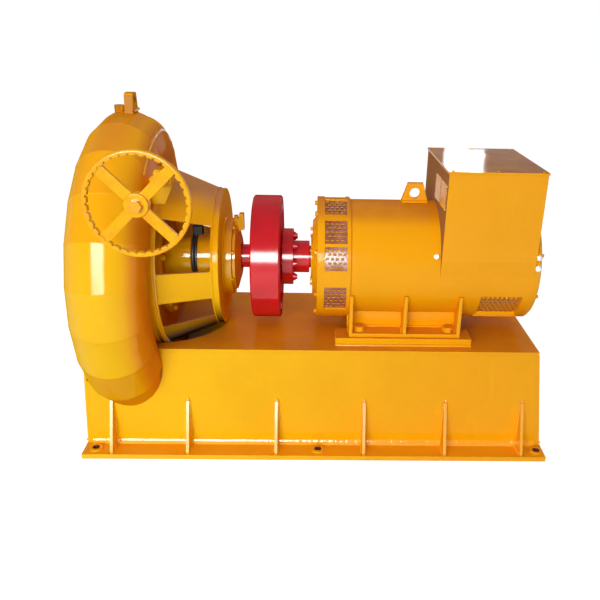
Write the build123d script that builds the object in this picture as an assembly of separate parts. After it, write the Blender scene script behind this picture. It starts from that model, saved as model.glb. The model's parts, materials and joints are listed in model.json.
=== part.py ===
from build123d import *
import math
import os

os.makedirs("parts", exist_ok=True)

# Frame: X runs along the shaft toward the generator, Y away from the viewer, Z up.
# The origin is the middle of the base underside, on the floor. Millimetres throughout.

# Generator, the fixed point from which the shaft line is laid out to the left
band_left = -13.0
band_right = 115.0
band_wall = 6.0
drum_radius = 236.0
drum_length = 707.0
band_step = 9.0
rear_cover_thickness = 20.0
rear_cover_chamfer = 8.0
rear_boss_radius = 88.0
rear_boss_draft = 4.0
rear_boss_height = 8.0
rear_rim_width = 24.0
rear_groove_width = 62.0
rear_groove_depth = 6.0
shield_boss_radius = 147.0
shield_boss_height = 18.0
shield_thickness = 21.0
shield_seat_depth = 36.0
shield_rim_depth = 22.0
shield_rim_thickness = 8.0
shield_shoulder_depth = 66.0
cap_radius = 84.0
cap_thickness = 6.0
core_bore_radius = 60.0
core_bore_depth = 20.0
window_spans = [(60, 86), (30, 53), (6, 27), (-38, -10)]
window_from_left = 29.0
window_from_right = 14.0
screen_lap = 8.0
screen_lap_angle = 2.0
screen_thickness = 2.0
plug_angle = 20.0
plug_before_box = 17.0
plug_sink = 4.0
plug_height = 12.0
plug_radius = 11.0
box_left = 454.0
box_end_gap = 10.0
box_overhang = 12.0
box_waist = 70.0
box_top = 400.0
lid_thickness = 8.0
lid_lap = 3.0
louvre_margin = 16.0
louvre_width = 104.0
louvre_count = 8
louvre_pitch = 12.0
louvre_height = 8.0
louvre_depth = 5.0
louvre_lip = 1.0
louvre_above_drum = 26.0
cut_depth = 86.0
cut_reach = 84.0
rear_vent_end_gap = 37.0
rear_vent_length = 160.0
rear_vent_span = (-52.0, -20.0)
rear_vent_depth = 26.0
vent_sheet_sink = 12.0
vent_sheet_thickness = 3.0
vent_sheet_lap = 8.0
vent_lip_height = 7.0
vent_lip_lap = 6.0
vent_lip_span = (3.0, 0.5)
lug_before_box = 32.0
lug_width = 102.0
lug_left_inset = 22.0
lug_right_inset = 20.0
lug_thickness = 20.0
lug_root = 36.0
lug_shoulder = 8.0
lug_height = 76.0
lug_hole_height = 36.0
lug_hole_radius = 21.0
foot_rib_middle = 333.0
foot_rib_last = 545.0
foot_rib_thickness = 14.0
foot_rib_below_axis = 80.0
foot_depth = 86.0
foot_plate_thickness = 14.0
foot_web_thickness = 12.0
foot_web_below_axis = 120.0
hold_down_inset = 33.0
hold_down_half_length = 174.5
hold_down_radius = 12.0
hold_down_thread = 14.0
hold_down_head = 20.0
hold_down_across = 36.0

# Clearances
running_clearance = 0.05
moving_clearance = 6.0
weld_gap = 0.3
over = 1.0

# Rotor
turbine_shaft_radius = 47.0
turbine_shaft_inset = 34.0
generator_shaft_radius = 45.0
generator_shaft_inset = 20.0
hub_radius = 65.0
hub_length = 65.0
coupling_gap = 4.0
coupling_width = 43.0
coupling_radius = 114.0
pin_circle_radius = 90.0
pin_radius = 9.0
pin_count = 8
pin_depth = 40.0
pin_reach = 16.0
pin_collar_radius = 14.0
pin_collar_height = 9.0
flywheel_width = 112.0
flywheel_step = 11.0
flywheel_chamfer = 5.0
flywheel_left_rim = 30.0
flywheel_left_dish = 16.0
flywheel_left_boss = 100.0
flywheel_right_rim = 28.0
flywheel_right_dish = 14.0
flywheel_right_boss = 190.0
flywheel_dish_draft = 6.0
flywheel_boss_draft = 10.0
runner_inset = 14.0
runner_end_gap = 8.0
runner_radius = 160.0
runner_throat_radius = 150.0
runner_crown_thickness = 10.0
runner_nose_radius = 72.0
runner_nose_length = 20.0
runner_eye = 22.0
blade_count = 13
blade_half_thickness = 3.0
blade_angle = 28.0
blade_root = 50.0
blade_tip = 155.0
blade_inset = 4.0
blade_end_gap = 6.0
blade_field = (55.0, 70.0, 151.0)

# Bearing bracket
flywheel_gap = 51.0
bearing_cover_thickness = 28.0
bearing_cover_bevel = 16.0
bearing_cover_radius = 134.0
bearing_cover_face = 78.0
housing_radius = 153.0
housing_length = 35.0
disc_thickness = 22.0
disc_clearance = 8.0
disc_lap = 25.0
bearing_relief = 47.0
tube_outer_radius = 92.0
bearing_tube_length = 84.0
gland_length = 104.0
bracket_length = 214.0
cone_wall = 14.0
cone_flange_step = 17.0
cone_flange_width = 18.0
cone_flange_chamfer = 4.0
window_margin_left = 18.0
window_margin_right = 6.0
upper_window = (38.0, 25.0, 182.0, 227.0)
upper_window_corner = 9.0
lower_window = (-80.0, -198.0, -179.0, -84.0)
lower_window_corner = 7.0
filler_half_width = 15.0
filler_root = 30.0
filler_height = 26.0
filler_step = 6.0
filler_arm_root = 22.0
filler_arm_height = 44.0
filler_arm_reach = 12.0
filler_cap_radius = 9.0
filler_cap_height = 10.0
filler_cap_place = 9.0
stop_half_width = 15.0
stop_lap = 16.0
stop_bottom = 70.0
stop_top = 124.0
stop_corner = 4.0
vane_ring_radius = 235.0
vane_ring_width = 34.0
vane_ring_thickness = 16.0
vane_count = 12
vane_stem_radius = 11.0
vane_stem_length = 34.0

# Turbine casing
core_radius = 350.0
core_half_width = 95.0
core_inner_radius = 30.0
cover_step = 18.0
cover_thickness = 30.0
cover_lap = 20.0
spiral_lean = 10.0
tube_seat = 84.0
centre_radius_growth = 2.0
centre_radius_curve = 4.8
tail_pull = 56.0
tube_radius_top = 134.0
tube_radius_bottom = 143.5
tube_radius_tail = 66.0
first_seam = 170.0
tail_end = 170.0
seam_pitch = 17.0
inlet_pipe_radius = 136.5
inlet_wall = 7.0
inlet_taper_length = 150.0
inlet_bore_depth = 225.0
inlet_face_y = 425.0
inlet_flange_radius = 197.5
inlet_flange_thickness = 26.0
inlet_bolt_circle = 350.0
inlet_bolt_count = 12
inlet_hole_radius = 11.0
draft_reach = 196.0
draft_flange_radius = 252.5
draft_flange_thickness = 26.0
draft_bore_radius = 168.9
draft_pipe_radius = 177.8
draft_pipe_root = 22.0
draft_bolt_circle = 460.0
draft_bolt_count = 16
draft_hole_radius = 11.0
side_cover_step = 50.0
side_cover_thickness = 22.0
side_cover_chamfer = 6.0
chamber_radius = 178.0
chamber_depth = 78.0
eye_offset = 14.0
eye_height = 66.0
eye_root = 30.0
eye_foot_half = 45.0
eye_tip_half = 28.0
eye_corner = 12.0
eye_thickness = 32.0
eye_hole_drop = 26.0
eye_hole_radius = 13.0
vent_stub_offset = 30.0
vent_stub_height = 20.0
vent_stub_root = 40.0
vent_stub_radius = 18.0

# Base
base_height = 445.0
base_half_depth = 300.0
base_left_reach = 191.0
base_left_top_reach = 166.0
base_right_reach = 93.0
base_right_top_reach = 35.0
flange_reach = 85.0
flange_width = 60.0
end_flange_width = 90.0
flange_thickness = 20.0
wall = 10.0
top_plate_thickness = 16.0
top_plate_from_volute = 105.0
arch_from_volute = 102.0
arch_length = 254.0
arch_margin = 54.0
wall_step_from_volute = 60.0
front_step_drop = 145.0
back_step_drop = 105.0
cross_plate_places = [-330.0, 120.0, 540.0]
cross_plate_thickness = 10.0
gusset_from_left = 116.0
gusset_from_right = 99.0
gusset_middle_places = [-517.0, -167.0, 183.0, 507.0]
gusset_height = 200.0
gusset_reach = 78.0
gusset_thickness = 12.0
gusset_toe = 10.0
gusset_tip = 8.0
anchor_from_left = 48.0
anchor_from_right = 30.0
anchor_offset = 45.0
anchor_boss_radius = 26.0
anchor_boss_height = 8.0
anchor_hole_radius = 13.5
seat_left = 63.0
seat_right = 597.0
seat_margin = 15.0
seat_width = 96.0
seat_thickness = 30.0
drum_above_seat = 14.0

# Handwheel and the drive behind it
wheel_offset = 198.0
wheel_y = -708.0
wheel_below_tube = 44.0
wheel_radius = 160.0
wheel_rim_depth = 18.0
wheel_rim_width = 16.0
wheel_rim_round = 6.0
grip_count = 38
grip_radius = 4.2
grip_offset = 1.0
spoke_width = 33.0
spoke_thickness = 11.0
spoke_lap = 8.0
wheel_hub_radius = 36.0
wheel_hub_front = 15.0
wheel_hub_back = 24.0
wheel_hub_round = 3.0
spindle_radius = 16.0
spindle_tip = 12.0
spindle_seat = 26.0
spindle_thread_step = 4.0
wheel_washer_radius = 21.0
wheel_washer_thickness = 3.0
wheel_nut_across = 34.0
wheel_nut_height = 15.0
gear_box_half = 29.0
gear_box_front = -352.0
gear_box_back = -290.0
gear_box_corner = 10.0
gear_boss_radius = 25.0
gear_boss_height = 18.0
gear_bore_depth = 30.0
bracket_plate = 10.0
bracket_bottom = 105.0
bracket_shoulder = 60.0
bracket_neck = 40.0
bracket_top = 5.0
bracket_foot_left = 10.0
bracket_head_right = 20.0
bracket_rib_depth = 60.0
bracket_rib_drop = 72.0
bracket_rib_half = 8.0
bracket_left = 60.0

# Places along the shaft, from the generator to the draft flange
shield_boss_left = band_left - shield_boss_height
cap_left = shield_boss_left - cap_thickness
hub_right = cap_left - moving_clearance
coupling_right = hub_right - hub_length
coupling_left = coupling_right - coupling_width
flywheel_right = coupling_left - coupling_gap
flywheel_left = flywheel_right - flywheel_width
housing_cap_right = flywheel_left - flywheel_gap
housing_right = housing_cap_right - bearing_cover_thickness
disc_right = housing_right - housing_length
disc_left = disc_right - disc_thickness
cone_left = disc_left - bracket_length
volute_x = cone_left - cover_thickness - core_half_width
core_left = volute_x - core_half_width
draft_face_x = volute_x - draft_reach
gland_right = cone_left + gland_length
bearing_tube_left = disc_left - bearing_tube_length
drum_right = band_right + drum_length
shield_right = band_left + shield_thickness
band_radius = drum_radius + band_step
shield_seat = drum_radius - shield_seat_depth
box_right = drum_right - box_end_gap
box_half_width = drum_radius + box_overhang
foot_rib_places = [band_right + foot_rib_thickness / 2, foot_rib_middle, foot_rib_last]
foot_front = drum_radius
foot_web_y = foot_front - foot_depth
hold_down_half_spacing = foot_front - hold_down_inset
window_left = band_left + window_from_left
window_right = band_right - window_from_right
rear_vent_right = drum_right - rear_vent_end_gap
rear_vent_left = rear_vent_right - rear_vent_length
wheel_x = volute_x + wheel_offset

# Heights and radii that follow from one another
shaft_above_base = seat_thickness + drum_above_seat + drum_radius
shaft_height = base_height + shaft_above_base
under_top = base_height - top_plate_thickness
disc_radius = shaft_above_base - disc_clearance
flywheel_radius = drum_radius + flywheel_step
rear_groove_outer = drum_radius - rear_rim_width
rear_groove_inner = rear_groove_outer - rear_groove_width
centre_radius_top = core_radius + tube_seat
centre_radius_tail = centre_radius_top - tail_pull
cover_radius = core_radius + cover_step
side_cover_radius = core_radius - side_cover_step
wheel_height = shaft_height + centre_radius_top - wheel_below_tube
shaft_axis = Axis((0, 0, shaft_height), (1, 0, 0))

# Outline and patterns of the base
foot_left = volute_x - base_left_reach
foot_right = drum_right + base_right_reach
top_left = volute_x - base_left_top_reach
top_right = drum_right + base_right_top_reach
top_plate_left = volute_x + top_plate_from_volute
arch_middle_x = volute_x + arch_from_volute
wall_step_x = volute_x + wall_step_from_volute
front_step_height = base_height - front_step_drop
back_step_height = base_height - back_step_drop
gusset_places = [foot_left + gusset_from_left, *gusset_middle_places, foot_right - gusset_from_right]
anchor_places = [foot_left + anchor_from_left, 0.0, foot_right - anchor_from_right]
anchor_half_spacing = base_half_depth + anchor_offset
seat_front = foot_front + seat_margin


def slab(x0, x1, y0, y1, z0, z1):
    """Rectangular block between two corners."""
    middle = Pos((x0 + x1) / 2, (y0 + y1) / 2, (z0 + z1) / 2)
    return middle * Box(x1 - x0, y1 - y0, z1 - z0)


def turned(profile):
    """Solid turned about the shaft line from points (x, radius)."""
    points = [(x, 0, shaft_height + r) for x, r in profile]
    face = Face(Wire.make_polygon(points, close=True))
    return revolve(face, shaft_axis, 360)


def ring(x0, x1, outer, inner):
    """Plain ring about the shaft line."""
    return turned([(x0, inner), (x1, inner), (x1, outer), (x0, outer)])


def rod_x(x0, x1, y, z, radius):
    """Round bar along X."""
    plane = Plane(origin=(x0, y, z), x_dir=(0, 1, 0), z_dir=(1, 0, 0))
    return extrude(plane * Circle(radius), x1 - x0)


def rod_y(y0, y1, x, z, radius):
    """Round bar along Y."""
    plane = Plane(origin=(x, y0, z), x_dir=(1, 0, 0), z_dir=(0, 1, 0))
    return extrude(plane * Circle(radius), y1 - y0)


def rod_z(z0, z1, x, y, radius):
    """Round bar along Z."""
    return Pos(x, y, z0) * extrude(Circle(radius), z1 - z0)


def plate_y(points, y0, y1, corner=0.0):
    """Flat plate with its outline in X and Z, from y0 to y1."""
    plane = Plane(origin=(0, y0, 0), x_dir=(1, 0, 0), z_dir=(0, -1, 0))
    outline = Polygon(*points, align=None)
    if corner:
        outline = fillet(outline.vertices(), corner)
    return extrude(plane * outline, y1 - y0, dir=(0, 1, 0))


def plate_x(points, x0, x1, corner=0.0):
    """Flat plate with its outline in Y and Z, from x0 to x1."""
    plane = Plane(origin=(x0, 0, 0), x_dir=(0, 1, 0), z_dir=(1, 0, 0))
    outline = Polygon(*points, align=None)
    if corner:
        outline = fillet(outline.vertices(), corner)
    return extrude(plane * outline, x1 - x0, dir=(1, 0, 0))


def hex_head(plane, across, height):
    """Hexagon bolt head standing on a plane."""
    return extrude(plane * RegularPolygon(across / 2, 6, major_radius=False), height)


def both_sides(shape):
    """The shape and its mirror image behind the shaft line."""
    return shape + mirror(shape, Plane.XZ)


def tube_radius(angle):
    """Radius of the spiral tube; the angle is 0 at the top and 180 at the bottom."""
    if angle >= 0:
        return tube_radius_top + (tube_radius_bottom - tube_radius_top) * angle / 180
    return tube_radius_top + (tube_radius_top - tube_radius_tail) * angle / tail_end


def tube_reach(angle):
    """Distance from the shaft line to the middle of the spiral tube."""
    turn = math.radians(angle)
    if angle >= 0:
        return centre_radius_top + centre_radius_growth * turn + centre_radius_curve * turn ** 2
    return centre_radius_top + (centre_radius_top - centre_radius_tail) * angle / tail_end


def tube_section(angle, grow):
    """Round section of the spiral tube in a plane through the shaft line."""
    radius = tube_radius(angle)
    reach = tube_reach(angle)
    a = math.radians(angle)
    lean = spiral_lean * math.cos(a)
    centre = (volute_x + lean, -reach * math.sin(a), shaft_height + reach * math.cos(a))
    plane = Plane(origin=centre, x_dir=(1, 0, 0), z_dir=(0, -math.cos(a), -math.sin(a)))
    return Wire.make_circle(radius + grow, plane)


def spiral_tube(grow=0.0):
    """Mitred spiral tube, one straight-sided segment for each seam pitch."""
    seams = int((first_seam + tail_end) / seam_pitch)
    angles = [first_seam - seam_pitch * k for k in range(seams, -1, -1)] + [180.0]
    return Solid.make_loft([tube_section(a, grow) for a in angles], ruled=True)


inlet_x = volute_x - spiral_lean
inlet_height = shaft_height - tube_reach(180.0)


def inlet_pipe(grow=0.0):
    """Tapered inlet that leaves the bottom of the spiral toward the back."""
    plane = Plane(origin=(inlet_x, 0, inlet_height), x_dir=(1, 0, 0), z_dir=(0, 1, 0))
    narrow = Plane(origin=(inlet_x, inlet_taper_length, inlet_height),
                   x_dir=(1, 0, 0), z_dir=(0, 1, 0))
    wide_end = Wire.make_circle(tube_radius_bottom + grow, plane)
    narrow_end = Wire.make_circle(inlet_pipe_radius + grow, narrow)
    taper = Solid.make_loft([wide_end, narrow_end], ruled=True)
    straight = rod_y(inlet_taper_length, inlet_face_y, inlet_x, inlet_height,
                     inlet_pipe_radius + grow)
    return taper + straight


def turbine_space(grow):
    """Outer shape of the turbine casing, used to fit the base plates round it."""
    tube = spiral_tube(grow)
    pipe = inlet_pipe(grow)
    core_right = volute_x + core_half_width
    core = ring(core_left - grow, core_right + grow, core_radius + grow, core_inner_radius)
    return tube + pipe + core


def cover_ring(grow):
    """Bolted cover on the generator side of the turbine casing."""
    left = cone_left - cover_thickness - cover_lap
    return ring(left - grow, cone_left, cover_radius + grow, core_inner_radius)


def bracket_space(grow):
    """Room of the bearing bracket over the arch of the base."""
    return turned([
        (cone_left, core_inner_radius),
        (cone_left, cover_radius + grow),
        (cone_left + cone_flange_width, cover_radius + grow),
        (disc_left, disc_radius + grow),
        (disc_right, disc_radius + grow),
        (disc_right, core_inner_radius),
    ])


casing_outside = turbine_space(weld_gap)


def save(shape, name):
    export_step(shape, "parts/" + name + ".step")


def end_x(z, bottom, top):
    """X of a sloping base end at height z."""
    return bottom + (top - bottom) * z / base_height


def base_wall():
    """Long side of the base between its sloping ends, before it is fitted to the casing."""
    points = [
        (end_x(flange_thickness, foot_left, top_left) + wall, flange_thickness),
        (end_x(flange_thickness, foot_right, top_right) - wall, flange_thickness),
        (end_x(under_top, foot_right, top_right) - wall, under_top),
        (end_x(under_top, foot_left, top_left) + wall, under_top),
    ]
    return plate_y(points, -base_half_depth, -base_half_depth + wall)


def base_front_wall():
    """Front wall; nothing is left standing above the tube on the turbine side."""
    above = slab(foot_left, wall_step_x, -base_half_depth - over, 0, front_step_height, base_height)
    return base_wall() - casing_outside - above


def base_back_wall():
    """Back wall, with a wider opening round the inlet pipe and the spiral's tail."""
    above = slab(foot_left, wall_step_x, 0, base_half_depth + over, back_step_height, base_height)
    return mirror(base_wall(), Plane.XZ) - casing_outside - above


def base_end(bottom, top, inward):
    """Sloping end plate standing on the flange."""
    points = [
        (end_x(flange_thickness, bottom, top), flange_thickness),
        (end_x(under_top, bottom, top), under_top),
        (end_x(under_top, bottom, top) + inward, under_top),
        (end_x(flange_thickness, bottom, top) + inward, flange_thickness),
    ]
    return plate_y(points, -base_half_depth, base_half_depth)


def base_top_plate():
    """Top plate with an arch cut out for the turbine casing."""
    right = end_x(base_height, foot_right, top_right)
    plate = slab(top_plate_left, right, -base_half_depth, base_half_depth, under_top, base_height)
    stretch = (arch_length, base_half_depth - arch_margin, 1)
    arch = Pos(arch_middle_x, 0, base_height) * scale(Cylinder(1, 4 * top_plate_thickness), stretch)
    return plate - arch - casing_outside - cover_ring(weld_gap) - bracket_space(weld_gap)


def base_foot_flanges():
    """Flange all round the foot of the base, with its anchor holes."""
    outer = base_half_depth + flange_reach
    inner = base_half_depth - flange_width
    frame = both_sides(slab(foot_left, foot_right, -outer, -inner, 0, flange_thickness))
    for x in (foot_left, foot_right - end_flange_width):
        frame += slab(x, x + end_flange_width, -inner, inner, 0, flange_thickness)
    for x in anchor_places:
        for y in (-anchor_half_spacing, anchor_half_spacing):
            frame -= rod_z(-over, flange_thickness + over, x, y, anchor_hole_radius)
    return frame


def gusset(x):
    """Triangular stiffener between the front wall and the foot flange."""
    y0 = -base_half_depth
    points = [
        (y0, flange_thickness),
        (y0 - gusset_reach, flange_thickness),
        (y0 - gusset_reach, flange_thickness + gusset_toe),
        (y0 - gusset_tip, flange_thickness + gusset_height),
        (y0, flange_thickness + gusset_height),
    ]
    return plate_x(points, x - gusset_thickness / 2, x + gusset_thickness / 2)


def base_gussets():
    row = gusset(gusset_places[0])
    for x in gusset_places[1:]:
        row += gusset(x)
    return both_sides(row) - casing_outside


def anchor_bosses():
    """Round pads under the anchor nuts."""
    bosses = None
    for x in anchor_places:
        for y in (-anchor_half_spacing, anchor_half_spacing):
            top = flange_thickness + anchor_boss_height
            boss = rod_z(flange_thickness, top, x, y, anchor_boss_radius)
            boss -= rod_z(0, top + over, x, y, anchor_hole_radius)
            bosses = boss if bosses is None else bosses + boss
    return bosses


def cross_plates():
    """Stiffening plates across the inside of the base."""
    inner = base_half_depth - wall
    half = cross_plate_thickness / 2
    plates = None
    for x in cross_plate_places:
        plate = slab(x - half, x + half, -inner, inner, flange_thickness, under_top)
        plates = plate if plates is None else plates + plate
    return plates


def seat_bars():
    """Two bars on the base that carry the generator feet."""
    bar = slab(seat_left, seat_right, -seat_front, -seat_front + seat_width,
               base_height, base_height + seat_thickness)
    return both_sides(bar)


def volute_casing():
    """Spiral casing with its cover, bored for the inlet, the runner and the shaft."""
    body = turbine_space(0.0)
    body += cover_ring(0.0)
    body -= rod_y(inlet_face_y - inlet_bore_depth, inlet_face_y + over, inlet_x, inlet_height,
                  inlet_pipe_radius - inlet_wall)
    chamber_end = core_left + chamber_depth
    body -= ring(core_left - over, chamber_end, chamber_radius, 0)
    body -= ring(chamber_end - over, cone_left + over, turbine_shaft_radius + moving_clearance, 0)
    return body


def inlet_flange():
    """Bolted flange on the end of the inlet pipe."""
    y0 = inlet_face_y - inlet_flange_thickness
    flange = rod_y(y0, inlet_face_y, inlet_x, inlet_height, inlet_flange_radius)
    flange -= rod_y(y0 - over, inlet_face_y + over, inlet_x, inlet_height, inlet_pipe_radius)
    for k in range(inlet_bolt_count):
        a = math.radians(360 / inlet_bolt_count * (k + 0.5))
        x = inlet_x + inlet_bolt_circle / 2 * math.cos(a)
        z = inlet_height + inlet_bolt_circle / 2 * math.sin(a)
        flange -= rod_y(y0 - over, inlet_face_y + over, x, z, inlet_hole_radius)
    return flange


def draft_side_cover():
    """Cover plate on the draft side of the turbine casing."""
    left = core_left - side_cover_thickness
    return turned([
        (core_left, draft_bore_radius),
        (core_left, side_cover_radius),
        (left + side_cover_chamfer, side_cover_radius),
        (left, side_cover_radius - side_cover_chamfer),
        (left, draft_bore_radius),
    ])


def draft_outlet():
    """Short outlet pipe with the flange for the draft bend."""
    left = draft_face_x
    right = core_left - side_cover_thickness
    flange_back = left + draft_flange_thickness
    body = turned([
        (left, draft_bore_radius),
        (right, draft_bore_radius),
        (right, draft_pipe_radius + draft_pipe_root),
        (flange_back, draft_pipe_radius),
        (flange_back, draft_flange_radius),
        (left, draft_flange_radius),
    ])
    for k in range(draft_bolt_count):
        a = math.radians(360 / draft_bolt_count * (k + 0.5))
        y = draft_bolt_circle / 2 * math.cos(a)
        z = shaft_height + draft_bolt_circle / 2 * math.sin(a)
        body -= rod_x(left - over, flange_back + over, y, z, draft_hole_radius)
    return body


def turbine_lugs():
    """Lifting eye, set along the ridge of the spiral tube, and the vent stub beside it."""
    top = shaft_height + centre_radius_top + tube_radius_top
    eye_x = volute_x + spiral_lean + eye_offset
    plate = plate_x([
        (-eye_foot_half, top - eye_root),
        (eye_foot_half, top - eye_root),
        (eye_tip_half, top + eye_height),
        (-eye_tip_half, top + eye_height),
    ], eye_x - eye_thickness / 2, eye_x + eye_thickness / 2, eye_corner)
    plate -= rod_x(eye_x - eye_thickness, eye_x + eye_thickness, 0,
                   top + eye_height - eye_hole_drop, eye_hole_radius)
    stub_x = volute_x + spiral_lean - vent_stub_offset
    stub = rod_z(top - vent_stub_root, top + vent_stub_height, stub_x, 0, vent_stub_radius)
    return (plate + stub) - spiral_tube(0.0)


def bracket_cone():
    """Conical bracket between the turbine cover and the bearing disc."""
    cone_top = cover_radius - cone_flange_step
    shell = turned([
        (cone_left, cone_top - cone_wall),
        (cone_left, cover_radius),
        (cone_left + cone_flange_width - cone_flange_chamfer, cover_radius),
        (cone_left + cone_flange_width, cover_radius - cone_flange_chamfer),
        (cone_left + cone_flange_width, cone_top),
        (disc_left, disc_radius),
        (disc_left, disc_radius - cone_wall),
        (cone_left + cone_flange_width, cone_top - cone_wall),
    ])
    left = cone_left + window_margin_left
    right = disc_left - window_margin_right
    for heights, ends, corner in (
        (upper_window, (left, right, right, left), upper_window_corner),
        (lower_window, (left, left, right, right), lower_window_corner),
    ):
        points = [(x, shaft_height + h) for x, h in zip(ends, heights)]
        shell -= plate_y(points, -cover_radius, cover_radius, corner)
    return shell - spiral_tube(over)


def bracket_disc():
    """Round plate at the small end of the cone."""
    return ring(disc_left, disc_right, disc_radius, housing_radius - disc_lap)


def bearing_housing():
    """Bearing housing with its tube toward the turbine."""
    relief_left = bearing_tube_left + bearing_relief
    bore = turbine_shaft_radius + running_clearance
    relief = turbine_shaft_radius + moving_clearance
    return turned([
        (bearing_tube_left, bore),
        (relief_left, bore),
        (relief_left, relief),
        (disc_right, relief),
        (disc_right, bore),
        (housing_right, bore),
        (housing_right, housing_radius),
        (disc_right, housing_radius),
        (disc_right, housing_radius - disc_lap),
        (disc_left, housing_radius - disc_lap),
        (disc_left, tube_outer_radius),
        (bearing_tube_left, tube_outer_radius),
    ])


def bearing_cover():
    """Bevelled cover on the flywheel side of the bearing."""
    bore = turbine_shaft_radius + moving_clearance
    return turned([
        (housing_right, bore),
        (housing_cap_right, bore),
        (housing_cap_right, bearing_cover_face),
        (housing_cap_right - bearing_cover_bevel, bearing_cover_radius),
        (housing_right, bearing_cover_radius),
    ])


def bearing_lug():
    """Oil filler block on top of the bearing housing."""
    z = shaft_height + bearing_cover_radius
    left = housing_right
    step = housing_cap_right - filler_step
    half = filler_half_width
    block = slab(left, step, -half, half, z - filler_root, z + filler_height)
    block += slab(step, housing_cap_right + filler_arm_reach, -half, half,
                  z - filler_arm_root, z + filler_arm_height)
    block += rod_z(z + filler_height, z + filler_height + filler_cap_height,
                   left + filler_cap_place, 0, filler_cap_radius)
    cover = turned([
        (left - over, core_inner_radius),
        (left - over, bearing_cover_radius),
        (left, bearing_cover_radius),
        (housing_cap_right - bearing_cover_bevel, bearing_cover_radius),
        (housing_cap_right, bearing_cover_face),
        (housing_cap_right, core_inner_radius),
    ])
    return block - cover


def gland_stop():
    """Dark stop block over the gap between the gland and the bearing tube."""
    block = slab(gland_right + over, bearing_tube_left + stop_lap, -stop_half_width,
                 stop_half_width, shaft_height + stop_bottom, shaft_height + stop_top)
    block = fillet(block.edges().filter_by(Axis.Z), stop_corner)
    return block - ring(gland_right, disc_left, tube_outer_radius, core_inner_radius)


def gland_housing():
    """Shaft gland tube on the turbine cover."""
    bore = turbine_shaft_radius + moving_clearance
    return ring(cone_left, gland_right, tube_outer_radius, bore)


def turbine_shaft():
    """Shaft from the runner through the flywheel."""
    return rod_x(core_left + turbine_shaft_inset, coupling_left - coupling_gap, 0, shaft_height,
                 turbine_shaft_radius)


def runner():
    """Crown, blades and band of the turbine wheel."""
    left = core_left + runner_inset
    right = core_left + chamber_depth - runner_end_gap
    crown_left = right - runner_crown_thickness
    nose = left + runner_nose_length
    crown = turned([
        (right, turbine_shaft_radius),
        (right, runner_throat_radius),
        (crown_left, runner_throat_radius),
        (nose, runner_nose_radius),
        (nose, turbine_shaft_radius),
    ])
    band = ring(left, right - runner_eye, runner_radius, runner_throat_radius)
    middle = Axis(((left + right) / 2, 0, shaft_height), (0, 1, 0))
    blades = None
    for k in range(blade_count):
        blade = slab(left + blade_inset, right - blade_end_gap, blade_root, blade_tip,
                     shaft_height - blade_half_thickness, shaft_height + blade_half_thickness)
        blade = blade.rotate(middle, blade_angle)
        blade = blade.rotate(shaft_axis, 360 / blade_count * k)
        blades = blade if blades is None else blades + blade
    inner_left, inner_right, outer = blade_field
    field = turned([(left, inner_left), (crown_left, inner_right), (crown_left, outer),
                    (left, outer)])
    return crown + band + (blades & field)


def pin_places():
    """Y and Z of the coupling pins."""
    places = []
    for k in range(pin_count):
        a = math.radians(360 / pin_count * k)
        places.append((pin_circle_radius * math.cos(a), shaft_height + pin_circle_radius * math.sin(a)))
    return places


def flywheel():
    """Flywheel with both faces dished between hub and rim."""
    left = flywheel_left
    right = flywheel_right
    r = flywheel_radius
    body = turned([
        (left, turbine_shaft_radius),
        (right, turbine_shaft_radius),
        (right, flywheel_right_boss),
        (right - flywheel_right_dish, flywheel_right_boss + flywheel_dish_draft),
        (right - flywheel_right_dish, r - flywheel_right_rim - flywheel_dish_draft),
        (right, r - flywheel_right_rim),
        (right, r - flywheel_chamfer),
        (right - flywheel_chamfer, r),
        (left + flywheel_chamfer, r),
        (left, r - flywheel_chamfer),
        (left, r - flywheel_left_rim),
        (left + flywheel_left_dish, r - flywheel_left_rim - flywheel_dish_draft),
        (left + flywheel_left_dish, flywheel_left_boss + flywheel_boss_draft),
        (left, flywheel_left_boss),
    ])
    for y, z in pin_places():
        body -= rod_x(right - pin_depth, right + over, y, z, pin_radius)
    return body


def coupling_half():
    """Coupling flange and hub on the generator shaft."""
    body = turned([
        (coupling_left, generator_shaft_radius),
        (hub_right, generator_shaft_radius),
        (hub_right, hub_radius),
        (coupling_right, hub_radius),
        (coupling_right, coupling_radius),
        (coupling_left, coupling_radius),
    ])
    for y, z in pin_places():
        body -= rod_x(coupling_left - over, coupling_right + over, y, z, pin_radius)
    return body


def coupling_pins():
    """Pins with their collars, held in the flywheel and the coupling flange."""
    pins = None
    for y, z in pin_places():
        pin = rod_x(flywheel_right - pin_depth, coupling_right + pin_reach, y, z, pin_radius)
        pin += rod_x(coupling_right, coupling_right + pin_collar_height, y, z, pin_collar_radius)
        pins = pin if pins is None else pins + pin
    return pins


def generator_shaft():
    """Shaft from the coupling into the generator."""
    return rod_x(coupling_left, band_right - generator_shaft_inset, 0, shaft_height,
                 generator_shaft_radius)


def sector(x0, x1, low, high, depth=cut_depth):
    """Block between two angles above the horizontal, on the near side."""
    inner = drum_radius - depth
    outer = drum_radius + cut_reach
    points = []
    for a, r in ((low, inner), (low, outer), (high, outer), (high, inner)):
        t = math.radians(a)
        points.append((-r * math.cos(t), shaft_height + r * math.sin(t)))
    return plate_x(points, x0, x1)


def generator_band():
    """Ventilated band at the drive end, with its windows."""
    band = ring(band_left, band_right, band_radius, band_radius - band_wall)
    for low, high in window_spans:
        band -= both_sides(sector(window_left, window_right, low, high))
    return band


def vent_screens():
    """Curved sheets behind the band's windows."""
    sheets = None
    outer = band_radius - band_wall
    left = window_left - screen_lap
    right = window_right + screen_lap
    shell = ring(left, right, outer, outer - screen_thickness)
    for low, high in window_spans:
        piece = shell & sector(left, right, low - screen_lap_angle, high + screen_lap_angle)
        piece = both_sides(piece)
        sheets = piece if sheets is None else sheets + piece
    return sheets


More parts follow.
